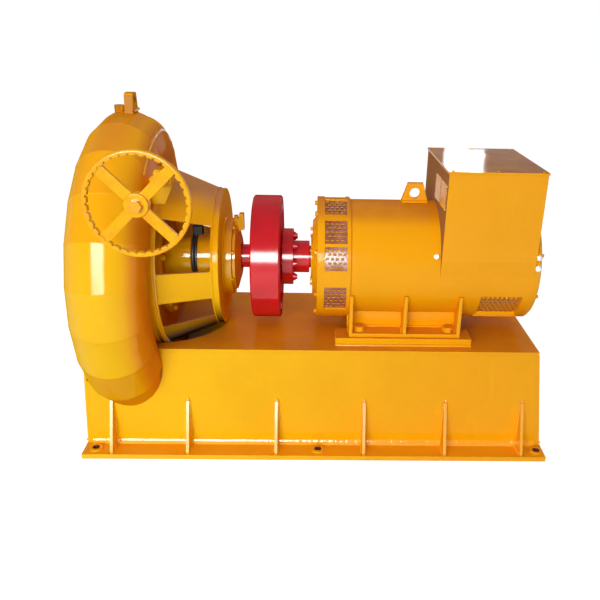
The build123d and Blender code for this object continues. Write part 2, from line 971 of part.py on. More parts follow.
def generator_drum():
    """Generator frame and core as one body, with its low air inlets and a grease plug."""
    body = ring(band_right, drum_right, drum_radius, 0)
    body += ring(shield_right, band_right, shield_seat, core_bore_radius)
    body -= ring(band_left, band_right + core_bore_depth, core_bore_radius, 0)
    low, high = rear_vent_span
    body -= both_sides(sector(rear_vent_left, rear_vent_right, low, high, rear_vent_depth))
    a = math.radians(plug_angle)
    reach = drum_radius - plug_sink
    foot = (box_left - plug_before_box, -reach * math.cos(a), shaft_height + reach * math.sin(a))
    plug = Plane(origin=foot, x_dir=(1, 0, 0), z_dir=(0, -math.cos(a), math.sin(a)))
    body += extrude(plug * Circle(plug_radius), plug_height)
    return body


def drive_end_shield():
    """End shield with its bearing boss."""
    bore = generator_shaft_radius + running_clearance
    rim_right = band_left + shield_rim_thickness
    return turned([
        (shield_boss_left, bore),
        (shield_right, bore),
        (shield_right, shield_seat),
        (rim_right, drum_radius - shield_rim_depth),
        (rim_right, band_radius - band_wall),
        (band_left, band_radius - band_wall),
        (band_left, drum_radius - shield_shoulder_depth),
        (shield_boss_left, shield_boss_radius),
    ])


def drive_bearing_cap():
    """Flat cap on the drive end bearing."""
    bore = generator_shaft_radius + running_clearance
    return ring(cap_left, shield_boss_left, cap_radius, bore)


def rear_cover():
    """Rear end cover with its ring groove and middle boss."""
    face = drum_right + rear_cover_thickness
    groove = face - rear_groove_depth
    return turned([
        (drum_right, 0),
        (face + rear_boss_height, 0),
        (face + rear_boss_height, rear_boss_radius),
        (face, rear_boss_radius + rear_boss_draft),
        (face, rear_groove_inner),
        (groove, rear_groove_inner + rear_groove_depth),
        (groove, rear_groove_outer - rear_groove_depth),
        (face, rear_groove_outer),
        (face, drum_radius - rear_cover_chamfer),
        (face - rear_cover_chamfer, drum_radius),
        (drum_right, drum_radius),
    ])


def terminal_box():
    """Terminal box that sits astride the drum."""
    z = shaft_height
    w = box_half_width
    points = [
        (-w, z + box_top),
        (-w, z + box_waist),
        (-drum_radius, z),
        (drum_radius, z),
        (w, z + box_waist),
        (w, z + box_top),
    ]
    box = plate_x(points, box_left, box_right)
    return box - ring(box_left - over, drum_right, drum_radius, 0)


def terminal_box_lid():
    """Flat lid of the terminal box."""
    z = shaft_height + box_top
    w = box_half_width + lid_lap
    return slab(box_left - lid_lap, box_right + lid_lap, -w, w, z, z + lid_thickness)


def generator_lug():
    """Lifting lug on top of the drum."""
    right = box_left - lug_before_box
    left = right - lug_width
    root = shaft_height + drum_radius - lug_root
    shoulder = shaft_height + drum_radius + lug_shoulder
    top = shaft_height + drum_radius + lug_height
    plate = plate_y([(left, root), (right, root), (right, shoulder), (right - lug_right_inset, top),
                     (left + lug_left_inset, top), (left, shoulder)],
                    -lug_thickness / 2, lug_thickness / 2)
    plate -= rod_y(-lug_thickness, lug_thickness, (left + right) / 2,
                   shaft_height + drum_radius + lug_hole_height, lug_hole_radius)
    return plate - ring(left - over, right + over, drum_radius, 0)


def hold_down_places():
    """X of the two bolts in each foot."""
    return (foot_rib_middle - hold_down_half_length, foot_rib_middle + hold_down_half_length)


def generator_foot():
    """Near foot of the generator: sole plate, web and ribs."""
    z0 = base_height + seat_thickness
    half = foot_rib_thickness / 2
    left = foot_rib_places[0] - half
    right = foot_rib_places[-1] + half
    foot = slab(left, right, -foot_front, -foot_web_y, z0, z0 + foot_plate_thickness)
    foot += slab(left, right, -foot_web_y - foot_web_thickness, -foot_web_y,
                 z0, shaft_height - foot_web_below_axis)
    for x in foot_rib_places:
        foot += slab(x - half, x + half, -foot_front, -foot_web_y,
                     z0, shaft_height - foot_rib_below_axis)
    foot -= ring(left - over, right + over, drum_radius, 0)
    for x in hold_down_places():
        foot -= rod_z(z0 - over, z0 + foot_plate_thickness + over, x, -hold_down_half_spacing,
                      hold_down_radius)
    return foot


def hold_down_bolts():
    """Hexagon bolts that hold the generator feet."""
    z0 = base_height + seat_thickness
    z1 = z0 + foot_plate_thickness
    bolts = None
    for x in hold_down_places():
        bolt = rod_z(z0, z1 + hold_down_thread, x, -hold_down_half_spacing, hold_down_radius)
        head = Plane(origin=(x, -hold_down_half_spacing, z1), z_dir=(0, 0, 1))
        bolt += hex_head(head, hold_down_across, hold_down_head)
        bolts = bolt if bolts is None else bolts + bolt
    return both_sides(bolts)


def handwheel():
    """Wheel with a round outer rim, finger grips inside it and four flat spokes."""
    inner = wheel_radius - wheel_rim_width
    front = Plane(origin=(wheel_x, wheel_y + wheel_rim_depth / 2, wheel_height),
                  x_dir=(1, 0, 0), z_dir=(0, -1, 0))
    rim = extrude(front * Circle(wheel_radius), wheel_rim_depth)
    rim = fillet(rim.edges(), wheel_rim_round)
    grips = Circle(inner) + PolarLocations(inner + grip_offset, grip_count) * Circle(grip_radius)
    rim -= extrude(front * grips, wheel_rim_depth)
    spokes = Rectangle(2 * (inner + spoke_lap), spoke_width)
    spokes = Rot(Z=45) * spokes + Rot(Z=-45) * spokes
    middle = Plane(origin=(wheel_x, wheel_y + spoke_thickness / 2, wheel_height),
                   x_dir=(1, 0, 0), z_dir=(0, -1, 0))
    wheel = rim + extrude(middle * spokes, spoke_thickness)
    hub_front = wheel_y - wheel_hub_front
    hub_back = wheel_y + wheel_hub_back
    hub = rod_y(hub_front, hub_back, wheel_x, wheel_height, wheel_hub_radius)
    wheel += fillet(hub.edges(), wheel_hub_round)
    wheel -= rod_y(hub_front - over, hub_back + over, wheel_x, wheel_height, spindle_radius)
    return wheel


def wheel_spindle():
    """Spindle from the gear box through the wheel, with its washer and nut."""
    seat = gear_box_front + spindle_seat
    hub_front = wheel_y - wheel_hub_front
    thread = spindle_radius - spindle_thread_step
    rod = rod_y(hub_front - spindle_tip, seat, wheel_x, wheel_height, thread)
    rod += rod_y(hub_front, seat, wheel_x, wheel_height, spindle_radius)
    washer = Plane(origin=(wheel_x, hub_front, wheel_height), x_dir=(1, 0, 0), z_dir=(0, -1, 0))
    rod += extrude(washer * Circle(wheel_washer_radius), wheel_washer_thickness)
    nut = washer.offset(wheel_washer_thickness)
    rod += hex_head(nut, wheel_nut_across, wheel_nut_height)
    return rod


def regulator_box():
    """Gear box of the guide vane drive, behind the handwheel."""
    z = wheel_height
    half = gear_box_half
    boss_front = gear_box_front - gear_boss_height
    box = slab(wheel_x - half, wheel_x + half, gear_box_front, gear_box_back, z - half, z + half)
    box = fillet(box.edges().filter_by(Axis.Y), gear_box_corner)
    box += rod_y(boss_front, gear_box_front, wheel_x, z, gear_boss_radius)
    box -= rod_y(boss_front - over, gear_box_front + gear_bore_depth, wheel_x, z,
                 spindle_radius + running_clearance)
    return box


def regulator_bracket():
    """Plate and rib that carry the gear box on the spiral tube."""
    z = wheel_height
    left = volute_x + bracket_left
    head_left = wheel_x - gear_box_half
    back = gear_box_back + bracket_plate
    plate = plate_y([
        (left, z - bracket_bottom),
        (wheel_x - bracket_foot_left, z - bracket_bottom),
        (wheel_x + bracket_head_right, z - bracket_neck),
        (wheel_x + bracket_head_right, z + bracket_top),
        (head_left, z + bracket_top),
        (left, z - bracket_shoulder),
    ], gear_box_back, back)
    rib = slab(left, head_left, back, back + bracket_rib_depth,
               z - bracket_rib_drop - bracket_rib_half, z - bracket_rib_drop + bracket_rib_half)
    return (plate + rib) - spiral_tube(0.0) - cover_ring(0.0)


def regulating_ring():
    """Guide vane ring with its stems, on the cover inside the bracket."""
    x0 = cone_left
    body = ring(x0, x0 + vane_ring_thickness, vane_ring_radius, vane_ring_radius - vane_ring_width)
    for k in range(vane_count):
        a = math.radians(360 / vane_count * (k + 0.5))
        r = vane_ring_radius - vane_ring_width / 2
        y = r * math.cos(a)
        z = shaft_height + r * math.sin(a)
        body += rod_x(x0, x0 + vane_stem_length, y, z, vane_stem_radius)
    return body


def louvres():
    """Sloping slats in two columns on the drive side of the terminal box."""
    slats = None
    x = box_left
    first = -box_half_width + louvre_margin
    for y0 in (first, first + louvre_width + louvre_margin):
        for k in range(louvre_count):
            z = shaft_height + drum_radius + louvre_above_drum + louvre_pitch * k
            slat = plate_y([(x, z), (x, z + louvre_height), (x - louvre_depth, z + louvre_lip),
                            (x - louvre_depth, z)], y0, y0 + louvre_width)
            slats = slat if slats is None else slats + slat
    return slats


def rear_vents():
    """Curved sheets and rain lips of the air inlets low at the rear."""
    low, high = rear_vent_span
    sheet_outer = drum_radius - vent_sheet_sink
    shell = ring(rear_vent_left - vent_sheet_lap, rear_vent_right + vent_sheet_lap,
                 sheet_outer, sheet_outer - vent_sheet_thickness)
    sheet = shell & sector(rear_vent_left, rear_vent_right, low, high)
    left = rear_vent_left - vent_lip_lap
    right = rear_vent_right + vent_lip_lap
    lip = ring(left, right, drum_radius + vent_lip_height, drum_radius)
    lip = lip & sector(left, right, low - vent_lip_span[0], low - vent_lip_span[1])
    return both_sides(sheet + lip)


save(base_top_plate(), "base_top_plate")
save(base_front_wall(), "base_front_wall")
save(base_back_wall(), "base_back_wall")
save(base_end(foot_left, top_left, wall) - casing_outside, "base_left_end")
save(base_end(foot_right, top_right, -wall), "base_right_end")
save(base_foot_flanges(), "base_foot_flanges")
save(base_gussets(), "base_gussets")
save(anchor_bosses(), "anchor_bosses")
save(cross_plates(), "base_cross_plates")
save(seat_bars(), "generator_seat_bars")
save(volute_casing(), "volute_casing")
save(inlet_flange(), "inlet_flange")
save(draft_side_cover(), "draft_side_cover")
save(draft_outlet(), "draft_outlet")
save(turbine_lugs(), "turbine_lugs")
save(bracket_cone(), "bracket_cone")
save(bracket_disc(), "bracket_disc")
save(bearing_housing(), "bearing_housing")
save(bearing_cover(), "bearing_cover")
save(bearing_lug() + gland_stop(), "bearing_oil_filler")
save(gland_housing(), "gland_housing")
save(turbine_shaft(), "turbine_shaft")
save(runner(), "turbine_runner")
save(flywheel(), "flywheel")
save(coupling_half(), "coupling_half")
save(coupling_pins(), "coupling_pins")
save(generator_shaft(), "generator_shaft")
save(generator_band(), "generator_band")
save(vent_screens(), "vent_screens")
save(generator_drum(), "generator_drum")
save(drive_end_shield(), "drive_end_shield")
save(drive_bearing_cap(), "drive_bearing_cap")
save(rear_cover(), "generator_rear_cover")
save(terminal_box(), "terminal_box")
save(terminal_box_lid(), "terminal_box_lid")
save(generator_lug(), "generator_lifting_lug")
save(both_sides(generator_foot()), "generator_feet")
save(hold_down_bolts(), "hold_down_bolts")
save(handwheel(), "handwheel")
save(wheel_spindle(), "handwheel_spindle")
save(regulator_box(), "regulator_gear_box")
save(regulator_bracket(), "regulator_bracket")
save(regulating_ring(), "guide_vane_ring")
save(louvres(), "terminal_box_louvres")
save(rear_vents(), "rear_vent_screens")
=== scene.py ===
"""Studio scene of the hydroelectric generator set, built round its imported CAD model, in metres."""
import json
import math
import random

import bmesh
import bpy
from mathutils import Matrix, Vector


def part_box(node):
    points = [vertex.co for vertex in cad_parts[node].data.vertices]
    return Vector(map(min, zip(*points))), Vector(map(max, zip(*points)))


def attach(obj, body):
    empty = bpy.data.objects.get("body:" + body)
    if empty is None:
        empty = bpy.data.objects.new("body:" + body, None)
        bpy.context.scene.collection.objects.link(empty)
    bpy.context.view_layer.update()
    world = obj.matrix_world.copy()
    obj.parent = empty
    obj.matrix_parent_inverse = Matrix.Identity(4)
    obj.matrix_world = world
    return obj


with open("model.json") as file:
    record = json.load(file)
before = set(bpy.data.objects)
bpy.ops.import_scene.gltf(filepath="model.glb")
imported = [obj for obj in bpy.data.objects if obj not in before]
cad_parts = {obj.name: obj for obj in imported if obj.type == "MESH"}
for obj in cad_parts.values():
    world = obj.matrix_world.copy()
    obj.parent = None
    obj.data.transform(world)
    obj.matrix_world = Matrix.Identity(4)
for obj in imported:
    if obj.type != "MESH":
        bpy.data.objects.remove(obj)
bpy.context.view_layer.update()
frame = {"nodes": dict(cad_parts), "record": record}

chance = random.Random(7)

X = Vector((1, 0, 0))
Y = Vector((0, 1, 0))
Z = Vector((0, 0, 1))

# Sizes that the pieces share with the CAD model; angles are in degrees
VOLUTE_X = -0.742
SPIRAL_LEAN = 0.010
CORE_RADIUS = 0.350
REACH_TOP = 0.434
REACH_TAIL = 0.378
REACH_GROWTH = 0.0020
REACH_CURVE = 0.0048
TUBE_TOP = 0.134
TUBE_BOTTOM = 0.1435
TUBE_TAIL = 0.066
FIRST_SEAM = 170
SEAM_PITCH = 17
SEAM_COUNT = 20
SIDE_COVER_THICKNESS = 0.022
EYE_THICKNESS = 0.032
DRAFT_BORE = 0.1689
INLET_PIPE = 0.1365
CONE_FLANGE_WIDTH = 0.018
STOP_RIGHT = -0.455
GUSSET_PLACES = (-0.817, -0.517, -0.167, 0.183, 0.507, 0.816)
GUSSET_THICKNESS = 0.012
FIRST_GUSSET_CUT = 0.085
ANCHOR_HOLE = 0.0135
ANCHOR_BOSS = 0.026
FOOT_RIB_PLACES = (0.122, 0.333, 0.545)
FOOT_RIB_THICKNESS = 0.014
FOOT_PLATE_THICKNESS = 0.014
FOOT_WEB_BEHIND_FRONT = 0.074
REAR_COVER_THICKNESS = 0.020
BAND_VENT_LEFT = 0.016
BAND_VENT_RIGHT = 0.101
BAND_VENT_SPANS = ((60, 86), (30, 53), (6, 27), (-38, -10))
BAND_VENT_RADIUS = 0.239
REAR_VENT_LEFT = 0.625
REAR_VENT_RIGHT = 0.785
REAR_VENT_SPAN = (-52, -20)
REAR_VENT_RADIUS = 0.224
PLUG_BEFORE_BOX = 0.017
PLUG_ANGLE = 20
PLUG_TOP = 0.008

# Places taken from the frame
joints = {joint["name"]: joint for joint in frame["record"]["behaviour"]["joints"]}
SHAFT_Z = joints["rotor_spin"]["pos_m"][2]
WHEEL = Vector(joints["handwheel_turn"]["pos_m"])
BASE_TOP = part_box("base_top_plate")[1][2]
FLANGE_LOW, FLANGE_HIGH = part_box("base_foot_flanges")
FLANGE_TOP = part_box("base_front_wall")[0][2]
WALL_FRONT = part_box("base_front_wall")[0][1]
GUSSET_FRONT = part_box("base_gussets")[0][1]
GUSSET_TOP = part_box("base_gussets")[1][2]
BOSS_LOW, BOSS_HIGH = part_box("anchor_bosses")
ANCHOR_PLACES = (BOSS_LOW[0] + ANCHOR_BOSS, 0.0, BOSS_HIGH[0] - ANCHOR_BOSS)
ANCHOR_SPACING = BOSS_HIGH[1] - ANCHOR_BOSS
SEAT_LOW, SEAT_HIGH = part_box("generator_seat_bars")
DISC_LEFT, DISC_RIGHT = (corner[0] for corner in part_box("bracket_disc"))
DISC_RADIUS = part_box("bracket_disc")[1][1]
CONE_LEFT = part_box("bracket_cone")[0][0]
HOUSING_LEFT, HOUSING_RIGHT = (corner[0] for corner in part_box("bearing_housing"))
HOUSING_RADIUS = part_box("bearing_housing")[1][1]
COVER_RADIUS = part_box("bearing_cover")[1][1]
GLAND_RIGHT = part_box("gland_housing")[1][0]
SIDE_COVER_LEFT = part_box("draft_side_cover")[0][0]
SIDE_COVER_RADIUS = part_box("draft_side_cover")[1][1]
DRAFT_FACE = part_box("draft_outlet")[0][0]
INLET_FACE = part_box("inlet_flange")[1][1]
EYE_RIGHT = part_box("turbine_lugs")[1][0]
EYE_LEFT = EYE_RIGHT - EYE_THICKNESS
BAND_LEFT, BAND_RIGHT = (corner[0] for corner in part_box("generator_band"))
DRUM_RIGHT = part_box("generator_drum")[1][0]
DRUM_RADIUS = -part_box("generator_rear_cover")[0][1]
REAR_FACE = DRUM_RIGHT + REAR_COVER_THICKNESS
BOX_LOW, BOX_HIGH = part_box("terminal_box")
LID_LOW, LID_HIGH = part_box("terminal_box_lid")
LUG_LOW, LUG_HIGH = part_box("generator_lifting_lug")
FOOT_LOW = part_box("generator_feet")[0]

# Camera fitted to the photograph, image 600 by 600, angles in radians
IMAGE = 600
FOCAL_PX = 685.4
CENTRE_X_PX = 327.9
CENTRE_Y_PX = 304.2
CAMERA_PLACE = (-0.0325, -2.6712, 1.6248)
CAMERA_PITCH = 0.394
CAMERA_YAW = -0.026
CAMERA_ROLL = 0.022
CAMERA_RANGE = 200
SENSOR = 36.0


def make_camera():
    """Camera at the photograph's angle, with its axes worked out from pitch, yaw and roll."""
    ahead = Vector((-math.sin(CAMERA_YAW) * math.cos(CAMERA_PITCH),
                    math.cos(CAMERA_YAW) * math.cos(CAMERA_PITCH),
                    -math.sin(CAMERA_PITCH)))
    level = Vector((math.cos(CAMERA_YAW), math.sin(CAMERA_YAW), 0))
    down = ahead.cross(level)
    right = level * math.cos(CAMERA_ROLL) - down * math.sin(CAMERA_ROLL)
    down = level * math.sin(CAMERA_ROLL) + down * math.cos(CAMERA_ROLL)
    data = bpy.data.cameras.new("photo_camera")
    data.sensor_fit = "HORIZONTAL"
    data.sensor_width = SENSOR
    data.lens = FOCAL_PX / IMAGE * SENSOR
    data.shift_x = (IMAGE / 2 - CENTRE_X_PX) / IMAGE
    data.shift_y = (CENTRE_Y_PX - IMAGE / 2) / IMAGE
    data.clip_end = CAMERA_RANGE
    camera = bpy.data.objects.new("photo_camera", data)
    turn = Matrix((right, -down, -ahead)).transposed().to_4x4()
    camera.matrix_world = Matrix.Translation(CAMERA_PLACE) @ turn
    bpy.context.scene.collection.objects.link(camera)
    bpy.context.scene.camera = camera


# Light and surroundings
DAYLIGHT = 0.42
CEILING = 0.30
HORIZON_SINE = 0.02
CEILING_SINE = 0.21
LAMP_COLOUR = (1.0, 0.985, 0.96)
LAMP_DISTANCE = 6.0
LAMP_AIM = (-0.1, 0, SHAFT_Z)
FRONT_AZIMUTH = math.radians(-14)
FRONT_ELEVATION = math.radians(16)
FRONT_SIZE = (3.2, 1.8)
FRONT_WATTS = 255
FRONT_SHINE_WATTS = 1300
LID_AIM = ((LID_LOW[0] + LID_HIGH[0]) / 2 - 0.10, 0, LID_HIGH[2])
REAR_AZIMUTH = math.radians(167.4)
REAR_ELEVATION = math.radians(11.0)
REAR_SIZE = (0.46, 0.36)
REAR_WATTS = 8
FILL_AZIMUTH = math.radians(172)
FILL_ELEVATION = math.radians(36)
FILL_SIZE = (3.0, 2.0)
FILL_WATTS = 90
FLOOR_HALF = 30
FLOOR_DROP = 0.0005
FLOOR_NEAR = 1.5
FLOOR_FAR = 4.0
FLOOR_GREY = (0.60, 0.60, 0.60)
FLOOR_FAR_GREY = (0.04, 0.04, 0.04)
FLOOR_GLOW = 0.70
FLOOR_ROUGHNESS = 0.9
FLOOR_GLOSS = 0.1


def put(tree, socket, value):
    """Link another node's socket to this one, or set it to a number or a colour."""
    if isinstance(value, bpy.types.NodeSocket):
        tree.links.new(value, socket)
    elif socket.type == "RGBA":
        socket.default_value = (*value, 1)
    else:
        socket.default_value = value


def map_range(tree, value, low, high, to_low, to_high):
    """Even step from to_low at low to to_high at high; these may be sockets too."""
    node = tree.nodes.new("ShaderNodeMapRange")
    given = {"Value": value, "From Min": low, "From Max": high, "To Min": to_low, "To Max": to_high}
    for name, number in given.items():
        put(tree, node.inputs[name], number)
    return node.outputs["Result"]


def whiteness(tree):
    """1 for rays that see the background, 0 for rays that light the object."""
    path = tree.nodes.new("ShaderNodeLightPath")
    seen = path.outputs["Is Camera Ray"]
    for name in ("Is Glossy Ray", "Is Transmission Ray"):
        both = tree.nodes.new("ShaderNodeMath")
        both.operation = "MAXIMUM"
        put(tree, both.inputs[0], seen)
        put(tree, both.inputs[1], path.outputs[name])
        seen = both.outputs[0]
    return seen


def make_world():
    """White surroundings for the eye and in reflections, under a darker ceiling."""
    world = bpy.data.worlds.new("studio")
    world.use_nodes = True
    tree = world.node_tree
    background = tree.nodes["Background"]
    put(tree, background.inputs["Color"], (1, 1, 1))
    path = tree.nodes.new("ShaderNodeLightPath")
    place = tree.nodes.new("ShaderNodeTexCoord")
    split = tree.nodes.new("ShaderNodeSeparateXYZ")
    put(tree, split.inputs[0], place.outputs["Generated"])
    ceiling = map_range(tree, split.outputs["Z"], HORIZON_SINE, CEILING_SINE, 1.0, CEILING)
    shine = map_range(tree, path.outputs["Is Glossy Ray"], 0, 1, 1.0, ceiling)
    level = map_range(tree, whiteness(tree), 0, 1, DAYLIGHT, shine)
    put(tree, background.inputs["Strength"], level)
    bpy.context.scene.world = world


def make_lamp(name, aim, azimuth, elevation, size, watts, lights=True, shines=True):
    """Soft rectangular light, as a workshop window gives; azimuth 0 is the viewer's side."""
    way = Vector((math.sin(azimuth) * math.cos(elevation),
                  -math.cos(azimuth) * math.cos(elevation),
                  math.sin(elevation)))
    data = bpy.data.lights.new(name, "AREA")
    data.shape = "RECTANGLE"
    data.size, data.size_y = size
    data.energy = watts
    data.color = LAMP_COLOUR
    lamp = bpy.data.objects.new(name, data)
    lamp.location = Vector(aim) + way * LAMP_DISTANCE
    lamp.rotation_euler = way.to_track_quat("Z", "Y").to_euler()
    lamp.visible_camera = False
    lamp.visible_diffuse = lights
    lamp.visible_glossy = shines
    bpy.context.scene.collection.objects.link(lamp)


def make_lights():
    """Workshop window in front with its glint on the enamel, a glint far behind and a back fill."""
    front = (LAMP_AIM, FRONT_AZIMUTH, FRONT_ELEVATION, FRONT_SIZE)
    make_lamp("front_window", *front, FRONT_WATTS)
    make_lamp("front_glint", *front, FRONT_SHINE_WATTS, lights=False)
    make_lamp("rear_glint", LID_AIM, REAR_AZIMUTH, REAR_ELEVATION, REAR_SIZE, REAR_WATTS, lights=False)
    make_lamp("back_fill", LAMP_AIM, FILL_AZIMUTH, FILL_ELEVATION, FILL_SIZE, FILL_WATTS, shines=False)


# Colours
YELLOW = (0.880, 0.505, 0.003)
YELLOW_WARM = (0.860, 0.370, 0.003)
ORANGE = (0.905, 0.415, 0.003)
ORANGE_WARM = (0.885, 0.370, 0.003)
# Painted warm light on faces that look up or to the right
WARM_LIGHT_TINT = (0.940, 0.385, 0.003)
# Painted shade and reflection on faces that lie flat
TOP_SHADE = (0.670, 0.215, 0.010)
# Painted shade on faces that look down
UNDER_SHADE = (0.780, 0.300, 0.003)
FLANK_SHADE = (0.780, 0.225, 0.004)
# Painted shade and reflection on the top of the volute
VOLUTE_TOP_SHADE = (0.780, 0.270, 0.010)
LUG_SHADE = (0.520, 0.200, 0.006)
MESH_BROWN = (0.470, 0.190, 0.030)
MESH_ORANGE = (0.500, 0.200, 0.045)
# Painted shade and reflection on the top of the lid
LID_TOP_SHADE = (0.360, 0.110, 0.014)
BOX_SHADE = (0.400, 0.180, 0.060)
# Painted shade and reflection on the tops of the cone and the disc
CONE_TOP_SHADE = (0.560, 0.220, 0.090)
# Painted shade, near black, on the undersides of the cone and the disc
CONE_UNDER_SHADE = (0.045, 0.014, 0.005)
WHEEL_YELLOW = (0.890, 0.450, 0.003)
WHEEL_WORN = (0.840, 0.345, 0.003)
WHEEL_SPECK = (0.560, 0.200, 0.010)
ROTOR_RED = (0.660, 0.005, 0.012)
ROTOR_DARK = (0.540, 0.004, 0.012)
ROTOR_CHIP = (0.360, 0.006, 0.008)
CUT_STEEL = (0.330, 0.315, 0.300)
CUT_RIDGE = (0.460, 0.450, 0.430)
CUT_STAIN = (0.200, 0.150, 0.110)
TURNED_STEEL = (0.600, 0.590, 0.570)
BRONZE = (0.620, 0.470, 0.260)
ZINC = (0.620, 0.610, 0.580)
# Primer in the bores, and painted shade in the anchor holes
PRIMER_AND_SHADE = (0.150, 0.035, 0.022)
# Painted shade and painted violet reflection of the sheet behind the vent windows
SHEET_SHADE = (0.300, 0.075, 0.030)
SHEET_VIOLET_REFLECTION = (0.420, 0.150, 0.090)
SLOT_DARK = (0.060, 0.016, 0.006)
SLOT_BROWN = (0.110, 0.032, 0.010)
DARK_RUBBER = (0.022, 0.024, 0.020)
GREASE = (0.060, 0.024, 0.012)

# Finish of the surfaces
BEVEL_SAMPLES = 4
PEEL_STRENGTH = 0.22
WAVE_DEPTH = 0.0035
FINE_DEPTH = 0.0002
ROUGH_DEPTH = 0.0012
GRAIN_DEPTH = 0.0008
GROOVE_PITCH = 0.0032
EDGE_FADE = (0.0010, 0.0004)
ANCHOR_FADE = (0.0012, 0.0004)
STOP_FADE = 0.002
SPINDLE_FADE = 0.001

# Limits between which a change of the enamel sets in, mostly its painted light and shade: two of the
# place, then parts of the normal
ALONG_SET = (-0.8, 0.8)
ABOVE_FLOOR = (0.05, 0.40)
LOOKS_UP = (0.05, 0.62)
LOOKS_RIGHT = (0.25, 0.85)
LIES_FLAT = (0.72, 0.94)
LOOKS_DOWN = (0.25, 0.85)
LOOKS_ASIDE = (0.55, 0.92)
TURNED_FACE = (0.70, 0.90)
SHADED_UNDER = (-0.50, -0.03)


class Paint:
    """A material in the making: short calls that add nodes and hand back sockets."""

    def __init__(self, name):
        self.material = bpy.data.materials.new(name)
        self.material.use_nodes = True
        self.tree = self.material.node_tree
        self.shader = self.tree.nodes["Principled BSDF"]
        coordinates = self.tree.nodes.new("ShaderNodeTexCoord")
        self.place = coordinates.outputs["Object"]
        self.facing = coordinates.outputs["Normal"]

    def set(self, **values):
        """Put values in the shader's inputs, with _ for each space in a name."""
        for name, value in values.items():
            put(self.tree, self.shader.inputs[name.replace("_", " ")], value)

    def calc(self, operation, a, b=0.0, clamp=False):
        """Math node on one or two numbers."""
        node = self.tree.nodes.new("ShaderNodeMath")
        node.operation = operation
        node.use_clamp = clamp
        put(self.tree, node.inputs[0], a)
        put(self.tree, node.inputs[1], b)
        return node.outputs[0]

    def split(self, vector):
        """The three parts of a vector."""
        node = self.tree.nodes.new("ShaderNodeSeparateXYZ")
        put(self.tree, node.inputs[0], vector)
        return tuple(node.outputs)

    def span(self, value, low, high, to_low=0.0, to_high=1.0):
        """Smooth step from to_low at low to to_high at high."""
        step = map_range(self.tree, value, low, high, to_low, to_high)
        step.node.interpolation_type = "SMOOTHSTEP"
        return step

    def noise(self, scale, detail=3.0, rough=0.5, stretch=(1, 1, 1)):
        """Noise fixed to the object; a small part of stretch draws it out along that axis."""
        mapping = self.tree.nodes.new("ShaderNodeMapping")
        put(self.tree, mapping.inputs["Vector"], self.place)
        mapping.inputs["Scale"].default_value = stretch
        node = self.tree.nodes.new("ShaderNodeTexNoise")
        put(self.tree, node.inputs["Vector"], mapping.outputs[0])
        node.inputs["Scale"].default_value = scale
        node.inputs["Detail"].default_value = detail
        node.inputs["Roughness"].default_value = rough
        return node.outputs["Fac"]

    def mix(self, amount, a, b):
        """Colour a where amount is 0 and b where it is 1."""
        node = self.tree.nodes.new("ShaderNodeMix")
        node.data_type = "RGBA"
        put(self.tree, node.inputs["Factor"], amount)
        put(self.tree, node.inputs[6], a)
        put(self.tree, node.inputs[7], b)
        return node.outputs[2]

    def blend(self, amount, a, b):
        """Number a where amount is 0 and b where it is 1."""
        node = self.tree.nodes.new("ShaderNodeMix")
        put(self.tree, node.inputs[0], amount)
        put(self.tree, node.inputs[2], a)
        put(self.tree, node.inputs[3], b)
        return node.outputs[0]

    def fleck(self, tone, other, noise, low, high, share=1.0):
        """The other colour, up to a share, where the noise is high."""
        return self.mix(self.span(noise, low, high, 0.0, share), tone, other)

    def bump(self, height, strength, distance, normal=None):
        """Normal of a surface raised by a height, on top of another normal."""
        node = self.tree.nodes.new("ShaderNodeBump")
        node.inputs["Strength"].default_value = strength
        node.inputs["Distance"].default_value = distance
        put(self.tree, node.inputs["Height"], height)
        if normal is not None:
            put(self.tree, node.inputs["Normal"], normal)
        return node.outputs[0]

    def soft_edges(self, radius):
        """Normal that rounds the edges off."""
        node = self.tree.nodes.new("ShaderNodeBevel")
        node.samples = BEVEL_SAMPLES
        node.inputs["Radius"].default_value = radius
        return node.outputs[0]

    def finish_bumps(self, waves, edge):
        """Soft edges, the slow waves of thick enamel and its fine orange peel."""
        slow = self.noise(scale=7.0, detail=1.5, rough=0.4)
        fine = self.noise(scale=620.0, detail=2.0)
        shape = self.bump(slow, waves, WAVE_DEPTH, self.soft_edges(edge))
        self.set(Coat_Normal=shape, Normal=self.bump(fine, PEEL_STRENGTH, FINE_DEPTH, shape))

    def graze(self):
        """0 where the surface is seen square on, 1 where it is seen edge on."""
        node = self.tree.nodes.new("ShaderNodeLayerWeight")
        node.inputs["Blend"].default_value = 0.5
        return node.outputs["Facing"]


def distance(paint, a, b):
    """How far apart two points are, from their offsets along two axes."""
    squares = paint.calc("ADD", paint.calc("MULTIPLY", a, a), paint.calc("MULTIPLY", b, b))
    return paint.calc("SQRT", squares)


def make_floor():
    """Pale floor that takes the shadow near the set and fades to white farther off."""
    mesh = bpy.data.meshes.new("floor")
    corners = [(x * FLOOR_HALF, y * FLOOR_HALF, 0) for x, y in ((-1, -1), (1, -1), (1, 1), (-1, 1))]
    mesh.from_pydata(corners, [], [(0, 1, 2, 3)])
    floor = bpy.data.objects.new("floor", mesh)
    floor.location.z = -FLOOR_DROP
    bpy.context.scene.collection.objects.link(floor)
    paint = Paint("pale_floor")
    x, y, _ = paint.split(paint.place)
    far = map_range(paint.tree, distance(paint, x, y), FLOOR_NEAR, FLOOR_FAR, 0, 1)
    glow = map_range(paint.tree, far, 0, 1, FLOOR_GLOW, 1.0)
    paint.set(Base_Color=paint.mix(far, FLOOR_GREY, FLOOR_FAR_GREY), Roughness=FLOOR_ROUGHNESS)
    paint.set(Specular_IOR_Level=FLOOR_GLOSS, Emission_Color=(1, 1, 1))
    paint.set(Emission_Strength=paint.calc("MULTIPLY", whiteness(paint.tree), glow))
    mesh.materials.append(paint.material)


def shade(colour, factor):
    """The colour made darker or lighter."""
    return tuple(min(1, part * factor) for part in colour)


